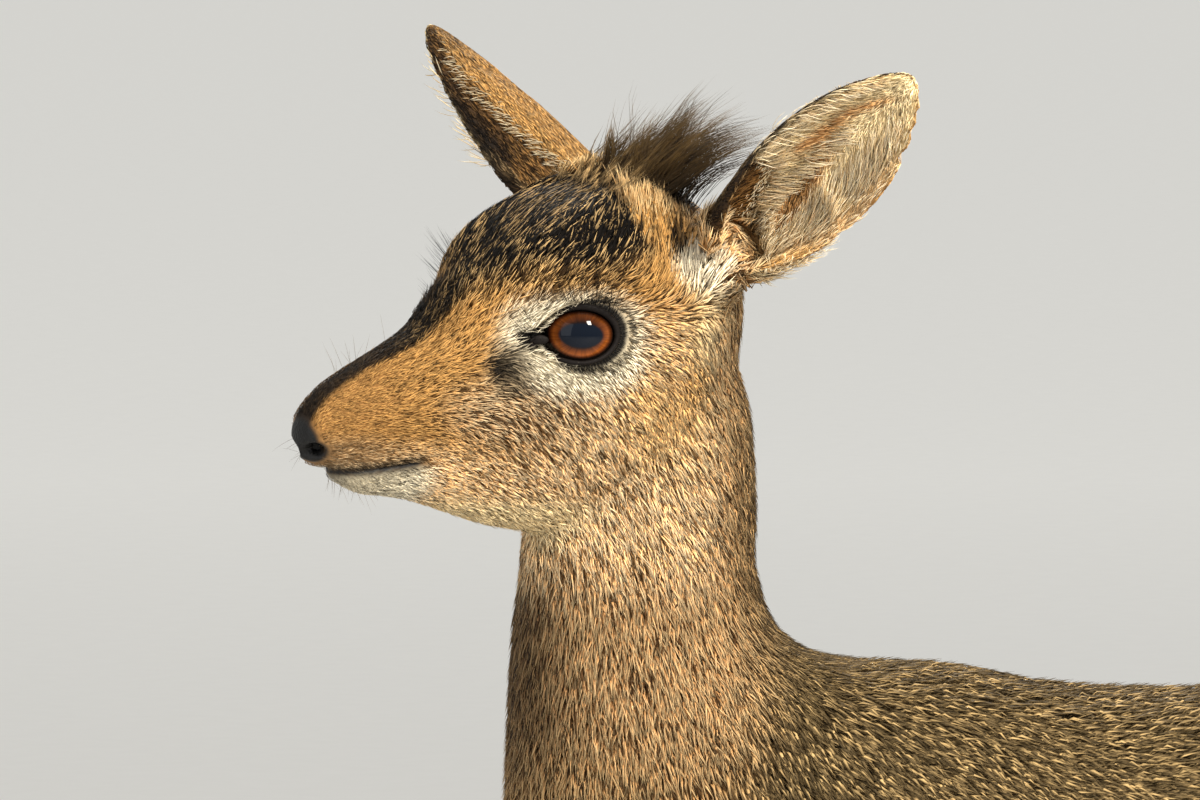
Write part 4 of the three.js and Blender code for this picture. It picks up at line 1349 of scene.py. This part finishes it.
def crest(ground, rng):
    """The tall hair of the crown, gathered in wisps that blow back."""
    head = in_head(ground.centre)
    on = ramp(np.abs(head[:, 1]), CREST["half"], CREST["half"] - 4) * (head[:, 2] > 44)
    on = on * ramp(head[:, 0], CREST["first"] - 3, CREST["first"] + 6)
    on = on * ramp(head[:, 0], CREST["last"] + 2, CREST["last"] - 2)
    point, normal, patch = ground.sow(on * 3.6, rng)
    start = in_head(point)
    count = len(point)
    leads = rng.choice(count, CREST["wisps"], replace=False)
    near = leads[((start[:, None, :] - start[None, leads, :]) ** 2).sum(2).argmin(1)]

    along = np.clip((start[:, 0] - CREST["first"]) / (CREST["last"] - CREST["first"]), 0, 1)
    spread = start[:, 1] / CREST["half"]
    long = CREST["short"] + (CREST["long"] - CREST["short"]) * ramp(along, 0.05, 0.75)
    stray = rng.random(count) < 0.12
    long = long * (0.35 + 0.65 * rng.random(count) ** 0.6) * (1 - 0.35 * spread**2)
    tilt = rng.normal(0, 0.2, count)
    splay = spread * 0.22 + rng.normal(0, 0.12, count)
    gather = np.where(stray, 0.2, 0.72 + 0.25 * rng.random(count))
    rows = []
    for share in np.linspace(0, 1, 6):
        mine = crest_path(start, tilt, splay, long, share)
        lead_long = np.maximum(long, long[near] * 0.8)
        theirs = crest_path(start[near], tilt[near], splay[near], lead_long, share)
        rows.append(mine + (theirs - mine) * (gather * ramp(share, 0.05, 0.9))[:, None])
    paths = from_head(np.stack(rows, 1))
    paths[:, 0] -= normal * 0.5 * MM
    widths = hair_widths(rng, count, 0.19, [1, 0.9, 0.65, 0.4])
    across = np.tile(HEAD_AXES[:, 1], (count, 1))
    look = Markings(count, "crest")
    look.lay("grizzle", ramp(start[:, 0], 94, 86))
    look.lay("dark", ramp(start[:, 0], 102, 108) * 0.7)
    return hairs("crest_hair", paths, across, widths, widths * 0.6, look.lit(rng, 0.6, 0.8), patch)


def poll(ground, rng):
    """The upright orange hair before each ear."""
    folded = mirrored(in_head(ground.centre))
    on = spot(folded, (96, 15, 54), (8, 9, 9), 0.8)
    point, normal, patch = ground.sow(on * 4.0, rng)
    count = len(point)
    head = in_head(point)
    sign = np.sign(head[:, 1])
    size = drawn(rng, 5, 5, count) * (0.55 + 0.45 * ramp(head[:, 2], 48, 60))
    back = 0.2 + rng.normal(0, 0.14, count)
    way = np.stack([back, -sign * (0.05 + rng.normal(0, 0.1, count)), np.ones(count)], 1)
    normal_in = normal @ HEAD_AXES
    lean = unit(laid(way, normal_in) + way * 0.6)
    shares = np.linspace(0, 1, 4)
    paths = [head + (lean * t + normal_in * 0.25 * t * (1 - 0.5 * t)) * size[:, None] for t in shares]
    paths = from_head(np.stack(paths, 1))
    paths[:, 0] -= normal * 0.5 * MM
    widths = hair_widths(rng, count, 0.3, [1, 0.8])
    across = unit(np.cross(normal, lean @ HEAD_AXES.T))
    look = Markings(count, "poll")
    look.lay("dark", (ramp(head[:, 0], 100, 104) + ramp(head[:, 0], 91, 88)).clip(0, 1) * 0.8)
    return hairs("poll_hair", paths, across, widths, widths * 0.5, look.lit(rng, 0.7, 0.6), patch)


# Rows of long hair in an ear. Each says where it roots, in millimetres: inwards from the front rim, behind
# that rim on the outer side, or forwards of the middle. Then come the levels it covers, the hairs to the
# square millimetre, their lean to the front, their rise to the tip and their length.
EAR_ROWS = [
    ("rim", (-0.5, 3), (10, 70), 2.6, -0.9, 0.65, 7.5),
    ("middle", (1.0, 4.0), (10, 50), 2.4, -0.75, 0.8, 7),
    ("middle", (-13, -8), (8, 62), 1.8, 0.7, 0.8, 8),
    ("middle", (-24, -13), (8, 66), 0.6, -0.2, 0.9, 5),
    ("rim", (0, 30), (2, 14), 0.9, 0.0, 1.0, 8),
    ("rim", (-2, 1.2), (8, 30), 2.4, 0.2, 1.0, 2.6),
    ("behind", (3, 5.5), (6, 66), 1.1, 0.9, 0.5, 3.8),
]
NOWHERE = -99


def ear_hair(side, ground, owner, rng):
    """The long pale hair inside an ear, in rows that lean over its hollows."""
    across, opening, axis = (HEAD_AXES @ row for row in EARS[side][1])
    to_front = -SIDES[side] * across
    mine = owned(owner, ["ear_" + side])
    inside = ramp(ground.facing @ opening, -0.05, 0.3) * mine
    outside = ramp(ground.facing @ opening, 0.05, -0.3) * mine
    local = in_ear(in_head(ground.centre), side)
    front = -SIDES[side] * local[:, 0]
    rim = ear_edge(local, side)[0]
    inset = np.minimum(rim, ear_mouth(local[:, 2]) - front)
    beds = {"rim": inset, "middle": np.where(inset > 0, front, NOWHERE), "behind": rim}
    roots, ways, sizes = [], [], []
    for bed, (near, far), (low, top), dense, lean, rise, long in EAR_ROWS:
        place = beds[bed]
        on = ramp(place, near - 0.5, near + 0.5) * ramp(place, far + 0.5, far - 0.5)
        on = on * ramp(local[:, 2], low - 2, low + 3) * ramp(local[:, 2], top + 3, top - 4)
        open_side = outside if bed == "behind" else inside
        root = ground.sow(open_side * on * dense, rng)
        count = len(root[0])
        leans = lean + rng.normal(0, 0.2, count)
        rises = rise + rng.normal(0, 0.15, count)
        roots.append(root)
        ways.append(laid(to_front * leans[:, None] + axis * rises[:, None], root[1]))
        sizes.append(long * drawn(rng, 0.6, 0.6, count) * MM)
    point, normal, patch = (np.concatenate(part) for part in zip(*roots))
    way, size = np.concatenate(ways), np.concatenate(sizes)
    count = len(point)
    local = in_ear(in_head(point), side)
    size = size * (0.5 + 0.5 * ramp(local[:, 2], 74, 54))
    lift = (size * drawn(rng, 0.18, 0.3, count))[:, None]
    size = size[:, None]
    shares = np.linspace(0, 1, 4)
    paths = [point + way * (size * t) + normal * (lift * t * (1.5 - t)) for t in shares]
    paths = np.stack(paths, 1)
    paths[:, 0] -= normal * 0.3 * MM
    widths = hair_widths(rng, count, 0.24, [1, 0.75])
    look = Markings(count, "white")
    look.lay("cream", rng.random(count))
    look.lay("ochre", rng.random(count) ** 3 * 0.5)
    # hairs darker at the bottom of the cup: painted shade
    look.lay("dark", spot(local * [1, 0, 1], (0, 0, 5), (5, 1, 8), 0.9) * 0.6)
    look.lay("shadow", ramp((normal @ opening), 0.05, -0.1) * 0.5)
    rows = look.lit(rng, 0.8, 0.5)
    return hairs("ear_hair_" + side, paths, np.cross(normal, way), widths, widths * 0.5, rows, patch)


# The coat as a whole

MOST_TUFTS = 33_000
# Tufts to the square millimetre
DENSE = {"head": 3.5, "neck": 2.6, "torso": 0.7, "tail": 1.2, "ear_left": 2.2, "ear_right": 2.2}
LIMB_DENSE = 0.38
# The nodes that each part of the coat grows on, the width of a tuft to its length, and the slot
COAT = {
    "head": (["head"], 0.068, "face"),
    "neck": (["neck"], 0.048, "coat"),
    "torso": (["torso"], 0.078, "coat"),
    "tail": (["tail"], 0.09, "coat"),
    "ear_left": (["ear_left"], 0.09, "ears"),
    "ear_right": (["ear_right"], 0.09, "ears"),
    "legs": (LIMBS, 0.12, "coat"),
}


def label_faces(ground):
    """The place in FLESH of the node that each face of the skin belongs to."""
    verts, faces, owner = [], [], []
    for i, name in enumerate(FLESH):
        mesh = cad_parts[name].data
        base = len(verts)
        verts += [v.co.copy() for v in mesh.vertices]
        for polygon in mesh.polygons:
            faces.append([base + v for v in polygon.vertices])
            owner.append(i)
    tree = BVHTree.FromPolygons(verts, faces)
    return np.array([owner[tree.find_nearest(p)[2]] for p in ground.centre.tolist()])


def density_of(ground, owner):
    """Tufts to the square millimetre of each face of the skin."""
    points = ground.centre
    back = in_head(points)[:, 0]
    dense = np.array([DENSE.get(name, LIMB_DENSE) for name in FLESH])[owner]
    dense = dense * (1 - bare(points) > 0.5)
    dense *= np.where(owned(owner, ["head"]), 0.75 + 0.6 * ramp(back, 60, 30), 1)
    dense *= np.where(owned(owner, ["torso"]), 0.5 + 0.5 * ramp(points[:, 2] / MM, 240, 310), 1)
    return dense


def grow_coat(ground, owner, rng, fur):
    """The tufts of the whole animal, in pieces of no more than MOST_TUFTS each."""
    dense = density_of(ground, owner)
    for group, (names, slim, slot) in COAT.items():
        point, normal, patch = ground.sow(dense * owned(owner, names), rng)
        parts = -(-len(point) // MOST_TUFTS)
        side = group.removeprefix("ear_")
        for i, chunk in enumerate(np.array_split(np.argsort(point[:, 0]), parts)):
            name = f"coat_{group}" + (f"_{i + 1}" if parts > 1 else "")
            roots = point[chunk], normal[chunk], patch[chunk]
            way = combed_ear(*roots[:2], side) if side in SIDES else combed(*roots[:2])
            fit(coat(name, ground, roots, way, rng, slim), fur, slot)


# Camera, light and floor

CAMERA = {"azimuth": -10, "elevation": 4, "far": 3.0, "lens": 360}
TARGET = Vector((-0.14279, 0.00427, 0.45108))
# Power in watts, size, place, what it points at, and colour
LAMPS = {
    "key": (82, 0.5, (0.75, -1.5, 1.6), (-0.12, 0, 0.42), (1.0, 0.93, 0.82)),
    "fill": (13, 1.6, (-1.8, -1.2, 0.9), (-0.1, 0, 0.35), (0.94, 0.97, 1.0)),
    "rim": (14, 0.8, (0.3, 1.6, 1.5), (-0.1, 0, 0.45), (1.0, 0.97, 0.92)),
}
SKY = {"Color": (0.96, 0.96, 0.94, 1), "Strength": 0.72}
FLOOR_HALF = 40
FLOOR_REACH = 8  # metres from the middle to where the floor is palest
# The floor painted darker near the middle, where the lamps light it most: painted shade against the pool of
# lamplight
FLOOR_PAINTED_SHADE = [(0.08, (0.6, 0.595, 0.58)), (0.7, (0.95, 0.94, 0.91))]


def aimed(name, data, at, way):
    """A lamp or a camera at a place, turned to look a way."""
    made = linked(name, data)
    made.location = at
    made.rotation_mode = "QUATERNION"
    made.rotation_quaternion = way.to_track_quat("-Z", "Y")
    return made


def camera():
    turn, rise = (math.radians(CAMERA[key]) for key in ("azimuth", "elevation"))
    back = Vector((math.sin(turn) * math.cos(rise), -math.cos(turn) * math.cos(rise), math.sin(rise)))
    lens = bpy.data.cameras.new("camera")
    lens.lens = CAMERA["lens"]
    lens.sensor_width = 36
    lens.clip_start, lens.clip_end = 0.1, 50
    bpy.context.scene.camera = aimed("camera", lens, TARGET + back * CAMERA["far"], -back)


def studio():
    for name, (power, size, at, to, colour) in LAMPS.items():
        light = bpy.data.lights.new(name, "AREA")
        light.energy = power
        light.size = size
        light.color = colour
        aimed(name, light, at, Vector(to) - Vector(at))
    world = bpy.data.worlds.new("studio")
    world.use_nodes = True
    feed(world.node_tree, world.node_tree.nodes["Background"], SKY)
    bpy.context.scene.world = world
    bpy.context.scene.view_settings.view_transform = "Standard"


def floor():
    bm = bmesh.new()
    bmesh.ops.create_grid(bm, x_segments=1, y_segments=1, size=FLOOR_HALF)
    piece = linked("floor", poured(bm, "floor"))
    made, tree, shader = material("floor", 0.9, 0.2)
    spots = object_coordinates(tree)
    reach = carried(tree, length_of(tree, spots), {"From Max": FLOOR_REACH})
    grain = noise(tree, spots, 60, 3)
    # painted shade: darker near the middle
    feed(tree, shader, {"Base Color": varied(tree, shaded(tree, reach, FLOOR_PAINTED_SHADE), 0.02, grain)})
    piece.data.materials.append(made)


# The animal, piece by piece

skin = make_skin()
unwrapped(skin)
skin_points = places(skin.data)
measure_ears(skin_points)
skin_look = markings(skin_points, normals(skin.data))
coloured(skin.data, "markings", skin_look.rows[1] * 0.5 + skin_look.rows[0] * 0.35)
valued(skin.data, "bare", bare(skin_points))
shade_smooth(skin.data)
fit(skin, skin_material(), "coat", *FLESH)

ground = Ground(skin)
rng = np.random.default_rng(SEED)
owner = label_faces(ground)
fur = coat_material("coat")
grow_coat(ground, owner, rng, fur)

bristle = coat_material("bristle", 0.45)
horn = horn_material()
eye_look = eye_material()
lid_look = lid_material()
fit(crest(ground, rng), fur, "crest", "crest")
fit(poll(ground, rng), fur, "face")
for side in SIDES:
    fit(ear_hair(side, ground, owner, rng), fur, "ears")
    fit(globe(side), eye_look, "eyes", "eye_" + side)
    fit(lids(side, ground), lid_look, "face")
    fit(lashes(side, ground, rng), bristle, "face")
    fit(lid_fringe(side, ground, rng), bristle, "face")
fit(whiskers(ground, rng), bristle, "face")
fit(hooves(), horn, "hooves", *HOOVES)
fit(dewclaws(ground, owner), horn, "hooves")
fit(coronets(ground, owner, rng), fur, "coat")
camera()
studio()
floor()
